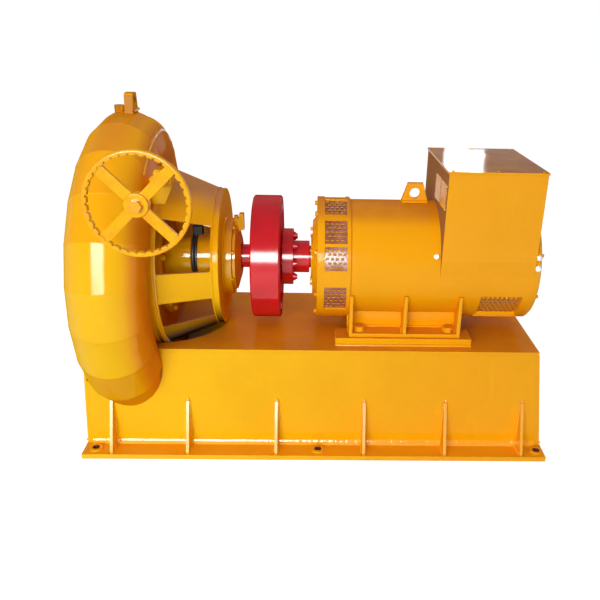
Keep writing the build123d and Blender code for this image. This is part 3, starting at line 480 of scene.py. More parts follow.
def weathered(paint, left, right, clouds):
    """The enamel's own tone, which drifts along the set, with clouds, runs and specks."""
    x = paint.split(paint.place)[0]
    drift = paint.calc("MULTIPLY", paint.calc("SUBTRACT", paint.noise(scale=1.6, detail=2.0), 0.5), 0.4)
    along = paint.calc("ADD", paint.span(x, *ALONG_SET), drift, clamp=True)
    tone = paint.mix(along, left, right)
    tone = paint.fleck(tone, shade(right, 0.82), clouds, 0.35, 0.75, share=0.20)
    runs = paint.noise(scale=26.0, rough=0.55, stretch=(1, 1, 0.18))
    tone = paint.fleck(tone, shade(left, 1.1), runs, 0.52, 0.80, share=0.14)
    specks = paint.noise(scale=330.0, detail=2.0)
    return paint.fleck(tone, shade(right, 0.72), specks, 0.66, 0.80, share=0.30)


def painted_light_and_shade(paint, tone, top, under, side, side_way):
    """Painted light and shade on the tone, by the way each face looks, in place of the light of the
    room.
    """
    z = paint.split(paint.place)[2]
    across, _, upward = paint.split(paint.facing)
    # Painted light: a warmer tone on faces that look up or to the right
    turned = paint.calc("MAXIMUM", paint.span(upward, *LOOKS_UP, 0.0, 0.85),
                        paint.span(across, *LOOKS_RIGHT, 0.0, 0.75))
    tone = paint.mix(turned, tone, WARM_LIGHT_TINT)
    # Painted shade and reflection on faces that lie flat, in patches, weaker near the floor
    top_patches = paint.noise(scale=9.0, detail=5.0, rough=0.62)
    patchy_top_shade = paint.span(top_patches, 0.15, 0.75, 0.70, 1.0)
    top_shade = paint.calc("MULTIPLY", paint.span(upward, *LIES_FLAT), patchy_top_shade)
    top_shade = paint.calc("MULTIPLY", top_shade, paint.span(z, *ABOVE_FLOOR, 0.45, 1.0))
    tone = paint.mix(top_shade, tone, top)
    # Painted shade on faces that look down
    shaded_below = paint.span(paint.calc("MULTIPLY", upward, -1.0), *LOOKS_DOWN)
    tone = paint.mix(shaded_below, tone, under)
    # Painted shade on faces that look to one side
    if side:
        shaded_side = paint.span(paint.calc("MULTIPLY", across, side_way), *LOOKS_ASIDE)
        tone = paint.mix(shaded_side, tone, side)
    return tone


def enamel(name, left, right, top=TOP_SHADE, under=UNDER_SHADE, rough=(0.07, 0.13), gloss=0.18,
           edge_gloss=0.0, side=None, side_way=-1):
    """Gloss enamel over steel, with painted warm light on faces that look up or right, painted shade
    and reflection on flat tops and painted shade on undersides; side is a painted shade on the faces
    that look to the left (-1) or right (1).
    """
    paint = Paint(name)
    clouds = paint.noise(scale=5.5, detail=4.0, rough=0.6)
    tone = painted_light_and_shade(paint, weathered(paint, left, right, clouds), top, under, side, side_way)
    upward = paint.split(paint.facing)[2]
    level = paint.calc("MULTIPLY", paint.span(paint.graze(), 0.38, 0.80, gloss, edge_gloss),
                       paint.span(upward, *SHADED_UNDER, 0.12, 1.0))
    paint.set(Base_Color=tone, Roughness=paint.span(clouds, 0.2, 0.8, *rough))
    paint.set(Specular_IOR_Level=level, IOR=1.5)
    paint.set(Coat_Weight=0.02, Coat_Roughness=0.04, Coat_IOR=1.45)
    paint.finish_bumps(waves=0.42, edge=0.0025)
    return paint


def masked(paint, mask, tone, rough, metal=0.0):
    """Another finish on part of a painted node, where the mask is 1."""
    shader = paint.shader
    paint.set(Base_Color=paint.mix(mask, shader.inputs["Base Color"].links[0].from_socket, tone))
    paint.set(Roughness=paint.blend(mask, shader.inputs["Roughness"].links[0].from_socket, rough))
    if metal:
        paint.set(Metallic=paint.calc("MULTIPLY", mask, metal))
    return paint


def inside_circle(paint, reach, radius, fade):
    """1 inside a radius, falling to 0 between two small distances beyond it."""
    far, near = fade
    return paint.span(reach, radius + far, radius + near)


def machined(paint, axis, edge, bore):
    """Bare turned face beyond the edge along an axis (0 or 1), and primer inside the bore."""
    places = paint.split(paint.place)
    faces = paint.split(paint.facing)
    way = 1.0 if edge > 0 else -1.0
    far, near = EDGE_FADE
    face = paint.span(paint.calc("MULTIPLY", places[axis], way), abs(edge) - far, abs(edge) - near)
    square = paint.span(paint.calc("MULTIPLY", faces[axis], way), *TURNED_FACE)
    bare = paint.calc("MULTIPLY", face, square)
    centre = (VOLUTE_X - SPIRAL_LEAN, 0, SHAFT_Z - tube_reach(180)) if axis else (0, 0, SHAFT_Z)
    offsets = [paint.calc("SUBTRACT", places[k], centre[k]) for k in range(3) if k != axis]
    radius = distance(paint, *offsets)
    inside = inside_circle(paint, radius, bore, EDGE_FADE)
    inside = paint.calc("MULTIPLY", inside, paint.calc("SUBTRACT", 1.0, square))
    masked(paint, inside, PRIMER_AND_SHADE, rough=0.55)
    grooves = paint.calc("SINE", paint.calc("MULTIPLY", radius, 2 * math.pi / GROOVE_PITCH))
    cut = paint.fleck(CUT_STEEL, CUT_RIDGE, grooves, -0.8, 0.8)
    stains = paint.noise(scale=18.0, detail=5.0, rough=0.65)
    stained = paint.fleck(cut, CUT_STAIN, stains, 0.45, 0.72, share=0.75)
    return masked(paint, bare, stained, rough=0.38, metal=1.0)


def shaded_holes(paint):
    """Painted shade, in the dark primer tone, inside the anchor holes of the base."""
    x, y, _ = paint.split(paint.place)
    out = paint.calc("SUBTRACT", paint.calc("ABSOLUTE", y), ANCHOR_SPACING)
    inside = None
    for place in ANCHOR_PLACES:
        reach = distance(paint, paint.calc("SUBTRACT", x, place), out)
        hole = inside_circle(paint, reach, ANCHOR_HOLE, ANCHOR_FADE)
        inside = hole if inside is None else paint.calc("MAXIMUM", inside, hole)
    return masked(paint, inside, PRIMER_AND_SHADE, rough=0.5)


def wheel_enamel():
    """Duller enamel of the handwheel, with worn patches and specks."""
    paint = Paint("wheel_enamel")
    worn = paint.noise(scale=24.0, detail=4.0, rough=0.6)
    tone = paint.fleck(WHEEL_YELLOW, WHEEL_WORN, worn, 0.3, 0.75)
    specks = paint.noise(scale=300.0, detail=2.0)
    tone = paint.fleck(tone, WHEEL_SPECK, specks, 0.66, 0.80, share=0.35)
    paint.set(Base_Color=tone, Roughness=paint.span(worn, 0.2, 0.8, 0.12, 0.24))
    paint.set(Specular_IOR_Level=paint.span(paint.graze(), 0.40, 0.85, 0.16, 0.02), IOR=1.5)
    paint.set(Coat_Weight=0.05, Coat_Roughness=0.05)
    paint.finish_bumps(waves=0.30, edge=0.0030)
    return paint


def red_enamel():
    """Red enamel of the rotor over turned steel, with small chips."""
    paint = Paint("red_enamel")
    tint = paint.noise(scale=6.0, detail=4.0, rough=0.6)
    tone = paint.fleck(ROTOR_RED, ROTOR_DARK, tint, 0.3, 0.75)
    chips = paint.noise(scale=60.0, detail=5.0, rough=0.7)
    tone = paint.fleck(tone, ROTOR_CHIP, chips, 0.70, 0.74)
    paint.set(Base_Color=tone, Roughness=paint.span(tint, 0.2, 0.8, 0.09, 0.16))
    paint.set(Specular_IOR_Level=paint.span(paint.graze(), 0.45, 0.82, 0.55, 0.0), IOR=1.5)
    paint.set(Coat_Weight=0.02, Coat_Roughness=0.05)
    turning = paint.noise(scale=240.0, detail=2.0, stretch=(1, 0.02, 0.02))
    paint.set(Normal=paint.bump(turning, 0.16, FINE_DEPTH, paint.soft_edges(0.002)))
    return paint


def bare_steel(name, colour, rough, stretch=(1, 1, 1)):
    """Turned or plated steel with faint stains and tool marks."""
    paint = Paint(name)
    stain = paint.noise(scale=14.0, detail=5.0, rough=0.65)
    lines = paint.noise(scale=420.0, rough=0.6, stretch=stretch)
    paint.set(Base_Color=paint.fleck(colour, shade(colour, 0.62), stain, 0.3, 0.8), Metallic=1.0)
    paint.set(Roughness=paint.span(paint.calc("ADD", stain, lines), 0.6, 1.5, rough, rough + 0.22))
    paint.set(Normal=paint.bump(lines, 0.35, FINE_DEPTH, paint.soft_edges(0.0012)))
    return paint


def screen_sheet():
    """Sheet behind the vent windows: painted shade in brown, with patches of painted violet reflection.
    """
    paint = Paint("vent_sheet")
    patches = paint.noise(scale=22.0, rough=0.6)
    paint.set(Base_Color=paint.fleck(SHEET_SHADE, SHEET_VIOLET_REFLECTION, patches, 0.35, 0.7))
    paint.set(Roughness=paint.span(patches, 0.2, 0.8, 0.18, 0.34))
    paint.set(Coat_Weight=0.4, Coat_Roughness=0.10)
    paint.set(Normal=paint.bump(paint.noise(scale=90.0, detail=2.0), 0.35, ROUGH_DEPTH))
    return paint


def slot_shadow():
    """Dark gap under the bridges of the vent sheets."""
    paint = Paint("slot_shadow")
    depth = paint.noise(scale=120.0, detail=2.0)
    paint.set(Base_Color=paint.fleck(SLOT_DARK, SLOT_BROWN, depth, 0.3, 0.7))
    paint.set(Roughness=paint.span(depth, 0.3, 0.7, 0.55, 0.75))
    paint.set(Normal=paint.bump(depth, 0.3, GRAIN_DEPTH))
    return paint


def soft_packing():
    """Dark greasy packing between the shaft gland and the bearing tube, whose dark tone is also painted
    shade in the gap.
    """
    paint = Paint("gland_packing")
    grease = paint.noise(scale=70.0, detail=4.0, rough=0.6)
    paint.set(Base_Color=paint.fleck(DARK_RUBBER, GREASE, grease, 0.35, 0.7))
    paint.set(Roughness=paint.span(grease, 0.2, 0.8, 0.35, 0.65))
    paint.set(Normal=paint.bump(paint.noise(scale=200.0), 0.4, GRAIN_DEPTH))
    return paint


def filler_enamel():
    """Yellow oil filler whose stop block on the left is black rubber."""
    paint = enamel("filler_enamel", YELLOW, YELLOW_WARM)
    x = paint.split(paint.place)[0]
    return masked(paint, paint.span(x, STOP_RIGHT, STOP_RIGHT - STOP_FADE), DARK_RUBBER, rough=0.45)


def spindle_steel():
    """Turned spindle with a painted end in front of the handwheel."""
    paint = bare_steel("spindle_steel", TURNED_STEEL, rough=0.20, stretch=(0.05, 1, 0.05))
    y = paint.split(paint.place)[1]
    front = paint.span(y, WHEEL.y + SPINDLE_FADE, WHEEL.y - SPINDLE_FADE)
    masked(paint, front, YELLOW_WARM, rough=0.16)
    paint.set(Metallic=paint.calc("SUBTRACT", 1.0, front))
    return paint


def make_paints():
    """All finishes by the name of what they cover."""
    yellow = (YELLOW, YELLOW_WARM)
    orange = (ORANGE, ORANGE_WARM)
    paints = {
        "casing": enamel("casing_enamel", *yellow),
        "volute": enamel("volute_enamel", *yellow, VOLUTE_TOP_SHADE, side=FLANK_SHADE, side_way=1),
        "weld": enamel("weld_enamel", *yellow, rough=(0.05, 0.09), gloss=0.60, edge_gloss=0.20),
        "base": enamel("base_enamel", *yellow, gloss=0.12),
        "gusset": enamel("gusset_enamel", *yellow, rough=(0.20, 0.28), gloss=0.62),
        "foot": shaded_holes(enamel("foot_enamel", *yellow)),
        "cone": enamel("cone_enamel", *yellow, CONE_TOP_SHADE, CONE_UNDER_SHADE, gloss=0.10),
        "bearing": enamel("bearing_enamel", *yellow, rough=(0.04, 0.08), gloss=0.75),
        "filler": filler_enamel(),
        "draft": machined(enamel("draft_enamel", *yellow), 0, DRAFT_FACE, DRAFT_BORE),
        "inlet": machined(enamel("inlet_enamel", *yellow), 1, INLET_FACE, INLET_PIPE),
        "lug": enamel("lug_enamel", LUG_SHADE, LUG_SHADE, rough=(0.34, 0.46), gloss=0.015),
        "generator": enamel("generator_enamel", *orange, gloss=0.15),
        "box": enamel("box_enamel", *orange, side=BOX_SHADE),
        "lid": enamel("lid_enamel", *orange, LID_TOP_SHADE, rough=(0.05, 0.09), edge_gloss=0.045),
        "louvre": enamel("louvre_enamel", *orange, gloss=1.0, edge_gloss=1.0),
        "mesh": enamel("mesh_enamel", MESH_BROWN, MESH_ORANGE, gloss=0.35),
        "wheel": wheel_enamel(),
        "red": red_enamel(),
        "screen": screen_sheet(),
        "slot": slot_shadow(),
        "packing": soft_packing(),
        "bronze": bare_steel("runner_bronze", BRONZE, rough=0.32),
        "zinc": bare_steel("zinc_bolts", ZINC, rough=0.26),
        "spindle": spindle_steel(),
    }
    return {name: paint.material for name, paint in paints.items()}


# Paint of each slot of the record, and of nodes that differ from their slot
PAINT_OF_SLOT = {
    "yellow_paint": "casing",
    "base_paint": "base",
    "generator_paint": "generator",
    "wheel_paint": "wheel",
    "red_paint": "red",
    "screen_paint": "screen",
    "runner_steel": "bronze",
    "bolt_steel": "zinc",
    "spindle_steel": "spindle",
}
PAINT_OF_NODE = {
    "volute_casing": "volute",
    "turbine_lugs": "lug",
    "draft_outlet": "draft",
    "inlet_flange": "inlet",
    "bracket_cone": "cone",
    "bracket_disc": "cone",
    "bearing_housing": "bearing",
    "bearing_cover": "bearing",
    "bearing_oil_filler": "filler",
    "gland_housing": "bearing",
    "base_gussets": "gusset",
    "base_foot_flanges": "foot",
    "anchor_bosses": "foot",
    "terminal_box": "box",
    "terminal_box_lid": "lid",
    "terminal_box_louvres": "louvre",
    "rear_vent_screens": "mesh",
    "hold_down_bolts": "generator",
    "coupling_pins": "red",
}


def dress_nodes(paints):
    """Better materials on the CAD nodes, by the slots of the record."""
    slot_of = {part["node"]: part["material_slot"] for part in frame["record"]["subparts"]}
    for name, node in frame["nodes"].items():
        paint = PAINT_OF_NODE.get(name, PAINT_OF_SLOT[slot_of[name]])
        node.data.materials.clear()
        node.data.materials.append(paints[paint])


class Shape:
    """Mesh in the making, skinned over rings of points."""

    def __init__(self, name):
        self.name = name
        self.mesh = bmesh.new()

    def skin(self, rings, round_path=False, round_ring=False, slot=0):
        """Faces between neighbouring rings that have the same number of points."""
        rows = [[self.mesh.verts.new(point) for point in ring] for ring in rings]
        if round_path:
            rows.append(rows[0])
        for low, high in zip(rows, rows[1:]):
            count = len(low) if round_ring else len(low) - 1
            for j in range(count):
                k = (j + 1) % len(low)
                face = self.mesh.faces.new((low[j], low[k], high[k], high[j]))
                face.material_index = slot
        return rows

    def cap(self, row):
        """Flat face over a row of points."""
        self.mesh.faces.new(row)

    def finish(self, *materials, smooth=True):
        """Put the piece in the scene, fixed to the frame."""
        bmesh.ops.recalc_face_normals(self.mesh, faces=self.mesh.faces)
        data = bpy.data.meshes.new(self.name)
        self.mesh.to_mesh(data)
        self.mesh.free()
        for material in materials:
            data.materials.append(material)
        if smooth:
            data.shade_smooth()
        piece = bpy.data.objects.new(self.name, data)
        bpy.context.scene.collection.objects.link(piece)
        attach(piece, "frame")


# Weld beads; a leg is the side of a fillet weld's section, and angles are in degrees
BEAD_STEP = 0.0035
BEAD_SIDES = 6
BEAD_SINK = 0.0004
BEAD_OFFSET = 0.001
RIPPLE_LENGTH = 0.0075
RIPPLE = 0.11
RIPPLE_CHANCE = 0.06
SEAM_WIDTH = 0.011
SEAM_HEIGHT = 0.0007
LONG_SEAM_TURN = 28
LONG_SEAM_ANGLES = range(-60, 40)
LONG_SEAM_WIDTH = 0.010
LONG_SEAM_HEIGHT = 0.0022
COVER_LEG = 0.006
EYE_LEG = 0.008
EYE_WELD_HALF = 0.042
WALL_LEG = 0.010
WALL_RISE = 2.2
WALL_BULGE = 0.35
WALL_WELD_MARGIN = 0.025
GUSSET_LEG = 0.006
SEAT_LEG = 0.007
DISC_LEG = 0.005
DISC_INSET = 0.0012
HOUSING_LEG = 0.006
RIB_LEG = 0.0055
RIB_WELD_MARGIN = 0.004
RIB_WELD_HEIGHT = 0.050
WEB_LEG = 0.006
BAND_SEAM_WIDTH = 0.006
BAND_SEAM_HEIGHT = 0.0016
BOX_SEAM_WIDTH = 0.026
BOX_SEAM_HEIGHT = 0.0014
LUG_LEG = 0.008


def ripple(k):
    """Height of the weld's ripple at step k of a bead."""
    wave = math.sin(k * BEAD_STEP / RIPPLE_LENGTH * 2 * math.pi)
    return 1 + RIPPLE * wave + chance.uniform(-RIPPLE_CHANCE, RIPPLE_CHANCE)


def flat_bead(shape, places, width, height, closed=False):
    """Bead on a surface; each place has its point, the way across and the way out."""
    rings = []
    for k, (point, across, out) in enumerate(places):
        high = height * ripple(k)
        turns = [math.pi * j / BEAD_SIDES for j in range(BEAD_SIDES + 1)]
        rings.append([point + across * (width / 2 * math.cos(turn))
                      + out * (high * math.sin(turn) - BEAD_SINK) for turn in turns])
    shape.skin(rings, round_path=closed)


def corner_bead(shape, places, leg, bulge=0.65, closed=False, rise=1.0):
    """Fillet weld in a corner; each place has its point and the ways along both surfaces."""
    rings = []
    for k, (point, one, other) in enumerate(places):
        size = leg * ripple(k)
        ring = []
        for j in range(BEAD_SIDES + 1):
            s = j / BEAD_SIDES
            turn = s * math.pi / 2
            u = (1 - bulge) * (1 - s) + bulge * math.cos(turn)
            v = (1 - bulge) * s + bulge * math.sin(turn)
            ring.append(point + one * (size * u) + other * (size * rise * v))
        rings.append(ring)
    shape.skin(rings, round_path=closed)


def line(start, end, one, other):
    """Places along a straight weld."""
    start, end = Vector(start), Vector(end)
    count = max(2, int((end - start).length / BEAD_STEP))
    return [(start.lerp(end, k / count), one, other) for k in range(count + 1)]


def level_line(left, right, y, z, one, other):
    """Places along a straight weld parallel to the shaft."""
    return line((left, y, z), (right, y, z), one, other)


def full_turn(count):
    """Angles spread evenly round a circle."""
    return [2 * math.pi * k / count for k in range(count)]


def hoop(x, radius, along):
    """Places of a fillet weld on a circle about the shaft line."""
    middle = Vector((x, 0, SHAFT_Z))
    places = []
    for turn in full_turn(int(2 * math.pi * radius / BEAD_STEP)):
        out = Vector((0, math.cos(turn), math.sin(turn)))
        places.append((middle + out * radius, along, out))
    return places


def both_sides(places):
    """The places and their mirror image behind the shaft line."""
    back = Vector((1, -1, 1))
    return places, [(point * back, one * back, other * back) for point, one, other in places]


def plate_faces(places, thickness):
    """Both faces of each plate in a row, from left to right."""
    return [x + way * thickness / 2 for x in places for way in (-1, 1)]


def tube_radius(angle):
    """Radius of the spiral tube; the angle is 0 at the top and 180 at the bottom."""
    if angle >= 0:
        return TUBE_TOP + (TUBE_BOTTOM - TUBE_TOP) * angle / 180
    return TUBE_TOP + (TUBE_TOP - TUBE_TAIL) * angle / FIRST_SEAM


def tube_reach(angle):
    """Distance from the shaft line to the middle of the spiral tube."""
    turn = math.radians(angle)
    if angle >= 0:
        return REACH_TOP + REACH_GROWTH * turn + REACH_CURVE * turn ** 2
    return REACH_TOP + (REACH_TOP - REACH_TAIL) * angle / FIRST_SEAM


def tube_section(angle):
    """Middle of the spiral tube at an angle, and the way out from the shaft line."""
    turn = math.radians(angle)
    out = Vector((0, -math.sin(turn), math.cos(turn)))
    middle = Vector((VOLUTE_X + SPIRAL_LEAN * math.cos(turn), 0, SHAFT_Z)) + out * tube_reach(angle)
    return middle, out


def mitre_seam(angle):
    """Places of the mitre seam round the spiral tube at an angle."""
    middle, out = tube_section(angle)
    radius = tube_radius(angle)
    places = []
    for turn in full_turn(int(2 * math.pi * radius / BEAD_STEP)):
        way = X * math.cos(turn) + out * math.sin(turn)
        places.append((middle + way * radius, X.cross(out), way))
    return places


def long_seam():
    """Places of the long weld on the generator side of the tube, behind its top."""
    places = []
    turn = math.radians(LONG_SEAM_TURN)
    for angle in LONG_SEAM_ANGLES:
        middle, out = tube_section(angle)
        way = X * math.cos(turn) + out * math.sin(turn)
        side = -X * math.sin(turn) + out * math.cos(turn)
        places.append((middle + way * tube_radius(angle), side, way))
    return places


def add_casing_seams(paint, weld):
    """Ground-down mitre welds of the spiral and the welds of its covers."""
    shape = Shape("spiral_seams")
    for k in range(SEAM_COUNT + 1):
        flat_bead(shape, mitre_seam(FIRST_SEAM - SEAM_PITCH * k), SEAM_WIDTH, SEAM_HEIGHT, closed=True)
    shape.finish(paint)
    shape = Shape("casing_welds")
    side_cover = hoop(SIDE_COVER_LEFT + SIDE_COVER_THICKNESS, SIDE_COVER_RADIUS, -X)
    cone_flange = hoop(CONE_LEFT + CONE_FLANGE_WIDTH, CORE_RADIUS + BEAD_OFFSET, X)
    corner_bead(shape, side_cover, COVER_LEG, closed=True)
    corner_bead(shape, cone_flange, COVER_LEG, closed=True)
    flat_bead(shape, long_seam(), LONG_SEAM_WIDTH, LONG_SEAM_HEIGHT)
    ridge = SHAFT_Z + REACH_TOP + TUBE_TOP
    for x, way in ((EYE_LEFT, -X), (EYE_RIGHT, X)):
        corner_bead(shape, line((x, -EYE_WELD_HALF, ridge), (x, EYE_WELD_HALF, ridge), way, Z), EYE_LEG)
    shape.finish(weld)


def weld_walls(shape):
    """Tall beads at the foot of the long walls, between the gussets."""
    ends = [FLANGE_LOW[0] + WALL_WELD_MARGIN, *plate_faces(GUSSET_PLACES, GUSSET_THICKNESS),
            FLANGE_HIGH[0] - WALL_WELD_MARGIN]
    for left, right in zip(ends[::2], ends[1::2]):
        for places in both_sides(level_line(left, right, WALL_FRONT, FLANGE_TOP, -Y, Z)):
            corner_bead(shape, places, WALL_LEG, WALL_BULGE, rise=WALL_RISE)


def weld_gussets(shape):
    """Beads up the wall and out along the flange on both faces of each gusset."""
    for x in GUSSET_PLACES:
        top = GUSSET_TOP - FIRST_GUSSET_CUT if x == GUSSET_PLACES[0] else GUSSET_TOP
        for side in (-1, 1):
            face = x + side * GUSSET_THICKNESS / 2
            corner = (face, WALL_FRONT, FLANGE_TOP)
            up = line(corner, (face, WALL_FRONT, top), X * side, -Y)
            out = line(corner, (face, GUSSET_FRONT, FLANGE_TOP), X * side, Z)
            for places in (*both_sides(up), *both_sides(out)):
                corner_bead(shape, places, GUSSET_LEG)


def add_base_welds(paint):
    """Fillet welds of the base's walls, ends, gussets and seat bars."""
    shape = Shape("base_welds")
    weld_walls(shape)
    weld_gussets(shape)
    for node, way, end in (("base_left_end", -X, 0), ("base_right_end", X, 1)):
        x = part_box(node)[end][0]
        places = line((x, WALL_FRONT, FLANGE_TOP), (x, -WALL_FRONT, FLANGE_TOP), way, Z)
        corner_bead(shape, places, WALL_LEG)
    for y in (SEAT_LOW[1], -SEAT_LOW[1]):
        way = Y * (1 if y > 0 else -1)
        corner_bead(shape, level_line(SEAT_LOW[0], SEAT_HIGH[0], y, BASE_TOP, way, Z), SEAT_LEG)
    shape.finish(paint)
    add_gusset_lumps(paint)


# Lumps of weld over the gussets
LUMP_ROUNDS = 9
LUMP_SLICES = 12
LUMP_HALF_WIDTH = 0.0085
LUMP_DEPTH = 0.0065
LUMP_SINK = 0.0005
LUMP_RISE = 0.004
LUMP_HALF_HEIGHT = (0.0084, 0.0119)
LUMP_LEAN = 0.003


def add_gusset_lumps(paint):
    """Run-out of the weld over the top of each gusset but the first."""
    shape = Shape("gusset_weld_ends")
    for x in GUSSET_PLACES[1:]:
        for side in (-1, 1):
            half_height = chance.uniform(*LUMP_HALF_HEIGHT)
            lean = chance.uniform(-LUMP_LEAN, LUMP_LEAN)
            middle = Vector((x + lean, -side * (WALL_FRONT + LUMP_SINK), GUSSET_TOP + LUMP_RISE))
            rings = []
            for i in range(LUMP_ROUNDS + 1):
                tilt = math.pi / 2 * i / LUMP_ROUNDS
                rings.append([middle + X * (LUMP_HALF_WIDTH * math.cos(turn) * math.cos(tilt))
                              + Y * (side * LUMP_DEPTH * math.sin(tilt))
                              + Z * (half_height * math.sin(turn) * math.cos(tilt))
                              for turn in full_turn(LUMP_SLICES)])
            shape.skin(rings, round_ring=True)
    shape.finish(paint)


def add_bracket_welds(paint):
    """Welds of the cone, the disc and the bearing housing."""
    shape = Shape("bracket_welds")
    corner_bead(shape, hoop(DISC_LEFT, DISC_RADIUS - DISC_INSET, -X), DISC_LEG, closed=True)
    corner_bead(shape, hoop(DISC_RIGHT, HOUSING_RADIUS, X), HOUSING_LEG, closed=True)
    shape.finish(paint)


# Packing of the shaft gland, which also stands for the shade in its gap
PACKING_RINGS = 2
PACKING_SIDES = 10
PACKING_RADIUS = 0.071
PACKING_HALF = 0.016
PACKING_LAP = 0.54


def add_packing(paint):
    """Braided rings that fill the gap between the shaft gland and the bearing tube, a dark piece that
    also stands for the shade there.
    """
    shape = Shape("gland_packing")
    pitch = (HOUSING_LEFT - GLAND_RIGHT) / PACKING_RINGS
    for k in range(PACKING_RINGS):
        rings = []
        for place, way, out in hoop(GLAND_RIGHT + pitch * (k + 0.5), PACKING_RADIUS, X):
            rings.append([place + way * (pitch * PACKING_LAP * math.cos(turn))
                          + out * (PACKING_HALF * math.sin(turn)) for turn in full_turn(PACKING_SIDES)])
        shape.skin(rings, round_path=True, round_ring=True)
    shape.finish(paint)


def weld_feet(shape):
    """Beads between the ribs, the web and the sole plate of the generator's feet."""
    sole = FOOT_LOW[2] + FOOT_PLATE_THICKNESS
    web = FOOT_LOW[1] + FOOT_WEB_BEHIND_FRONT
    faces = plate_faces(FOOT_RIB_PLACES, FOOT_RIB_THICKNESS)
    for k, x in enumerate(faces):
        way = X * (1 if k % 2 else -1)
        out = line((x, FOOT_LOW[1] + RIB_WELD_MARGIN, sole), (x, web, sole), way, Z)
        up = line((x, web, sole), (x, web, sole + RIB_WELD_HEIGHT), way, -Y)
        for places in (*both_sides(out), *both_sides(up)):
            corner_bead(shape, places, RIB_LEG)
    for left, right in zip(faces[1::2], faces[2::2]):
        for places in both_sides(level_line(left, right, web, sole, -Y, Z)):
            corner_bead(shape, places, WEB_LEG)


def add_generator_welds(paint):
    """Welds of the feet, the band, the terminal box and the lifting lug."""
    shape = Shape("generator_welds")
    weld_feet(shape)
    band = hoop(BAND_RIGHT + BEAD_OFFSET, DRUM_RADIUS, X)
    flat_bead(shape, band, BAND_SEAM_WIDTH, BAND_SEAM_HEIGHT, closed=True)
    for places in both_sides(level_line(BOX_LOW[0], BOX_HIGH[0], -DRUM_RADIUS, SHAFT_Z, Z, -Y)):
        flat_bead(shape, places, BOX_SEAM_WIDTH, BOX_SEAM_HEIGHT)
    root = SHAFT_Z + DRUM_RADIUS - BEAD_SINK
    for places in both_sides(level_line(LUG_LOW[0], LUG_HIGH[0], LUG_LOW[1], root, -Y, Z)):
        corner_bead(shape, places, LUG_LEG)
    shape.finish(paint)


def on_drum(x, angle, radius, side):
    """Point at an angle above the horizontal, on the near side (1) or the far side (-1)."""
    turn = math.radians(angle)
    return Vector((x, -side * radius * math.cos(turn), SHAFT_Z + radius * math.sin(turn)))


# Pressed bridges and teeth of the vent sheets; each turn is in degrees
BRIDGE_PITCH = 0.019
BRIDGE_ROW = 0.017
BRIDGE_LENGTH = 0.0120
BRIDGE_WIDTH = 0.0060
BRIDGE_HEIGHT = 0.0030
BRIDGE_THICKNESS = 0.0009
BRIDGE_LIFT = 0.0002
BRIDGE_FULLNESS = 0.6
BRIDGE_ARC = 6
FIELD_MARGIN_LEFT = 0.009
FIELD_MARGIN_RIGHT = 0.006
SLOT_LIFT = 0.0004
SLOT_LENGTH_SHARE = 0.44
SLOT_DEPTH_SHARE = 1.9
SLOT_TOP_SHARE = 0.75
TOOTH_PITCH = 0.018
TOOTH_MARGIN = 0.010
TOOTH_WIDTH = 0.009
TOOTH_TAPER = 0.35
TOOTH_TURN = 2.6
TOOTH_LAP_TURN = 0.2
TOOTH_LIFT = 0.0012
TOOTH_BEND = 0.0022
TOOTH_CURL = 0.4
TOOTH_THICKNESS = 0.0018
TOOTH_STEPS = 4


def strip_section(corners, radius, thickness, side):
    """Section of a bent strip: its outer corners and the inner ones under them."""
    inner = radius - thickness
    return [*(on_drum(x, angle, radius, side) for x, angle in corners),
            *(on_drum(x, angle, inner, side) for x, angle in reversed(corners))]


def bridge(shape, x, angle, radius, side):
    """One pressed bridge of a vent sheet, with a painted shadow under it for its slot."""
    half_turn = math.degrees(BRIDGE_WIDTH / 2 / radius)
    rings = []
    for j in range(BRIDGE_ARC + 1):
        turn = math.pi * j / BRIDGE_ARC
        out = radius + BRIDGE_LIFT + BRIDGE_HEIGHT * math.sin(turn) ** BRIDGE_FULLNESS
        place = x - BRIDGE_LENGTH / 2 * math.cos(turn)
        corners = ((place, angle - half_turn), (place, angle + half_turn))
        rings.append(strip_section(corners, out, BRIDGE_THICKNESS, side))
    shape.skin(rings, round_ring=True)
    wide = BRIDGE_LENGTH * SLOT_LENGTH_SHARE
    deep = half_turn * SLOT_DEPTH_SHARE
    shape.skin([[on_drum(end, angle - deep, radius + SLOT_LIFT, side),
                 on_drum(end, angle + deep * SLOT_TOP_SHARE, radius + SLOT_LIFT, side)]
                for end in (x - wide, x + wide)], slot=1)


def bridge_field(shape, left, right, span, radius):
    """Staggered rows of bridges that fill one vent on both sides of the drum."""
    low, high = span
    step = math.degrees(BRIDGE_ROW / radius)
    rows = int((high - low) / step)
    start = (low + high) / 2 - step * (rows - 1) / 2
    for row in range(rows):
        x = left + FIELD_MARGIN_LEFT + BRIDGE_PITCH / 2 * (row % 2)
        while x < right - FIELD_MARGIN_RIGHT:
            for side in (-1, 1):
                bridge(shape, x, start + row * step, radius, side)
            x += BRIDGE_PITCH


def tooth(shape, x, side):
    """Bent tab along the top edge of a rear vent."""
    top = REAR_VENT_SPAN[1] + TOOTH_LAP_TURN
    rings = []
    for j in range(TOOTH_STEPS + 1):
        s = j / TOOTH_STEPS
        wide = TOOTH_WIDTH / 2 * (1 - TOOTH_TAPER * s * s)
        angle = top - TOOTH_TURN * s
        radius = DRUM_RADIUS + TOOTH_LIFT + TOOTH_BEND * s * (1 - TOOTH_CURL * s)
        corners = ((x - wide, angle), (x + wide, angle))
        rings.append(strip_section(corners, radius, TOOTH_THICKNESS, side))
    rows = shape.skin(rings, round_ring=True)
    shape.cap(rows[0])
    shape.cap(rows[-1])


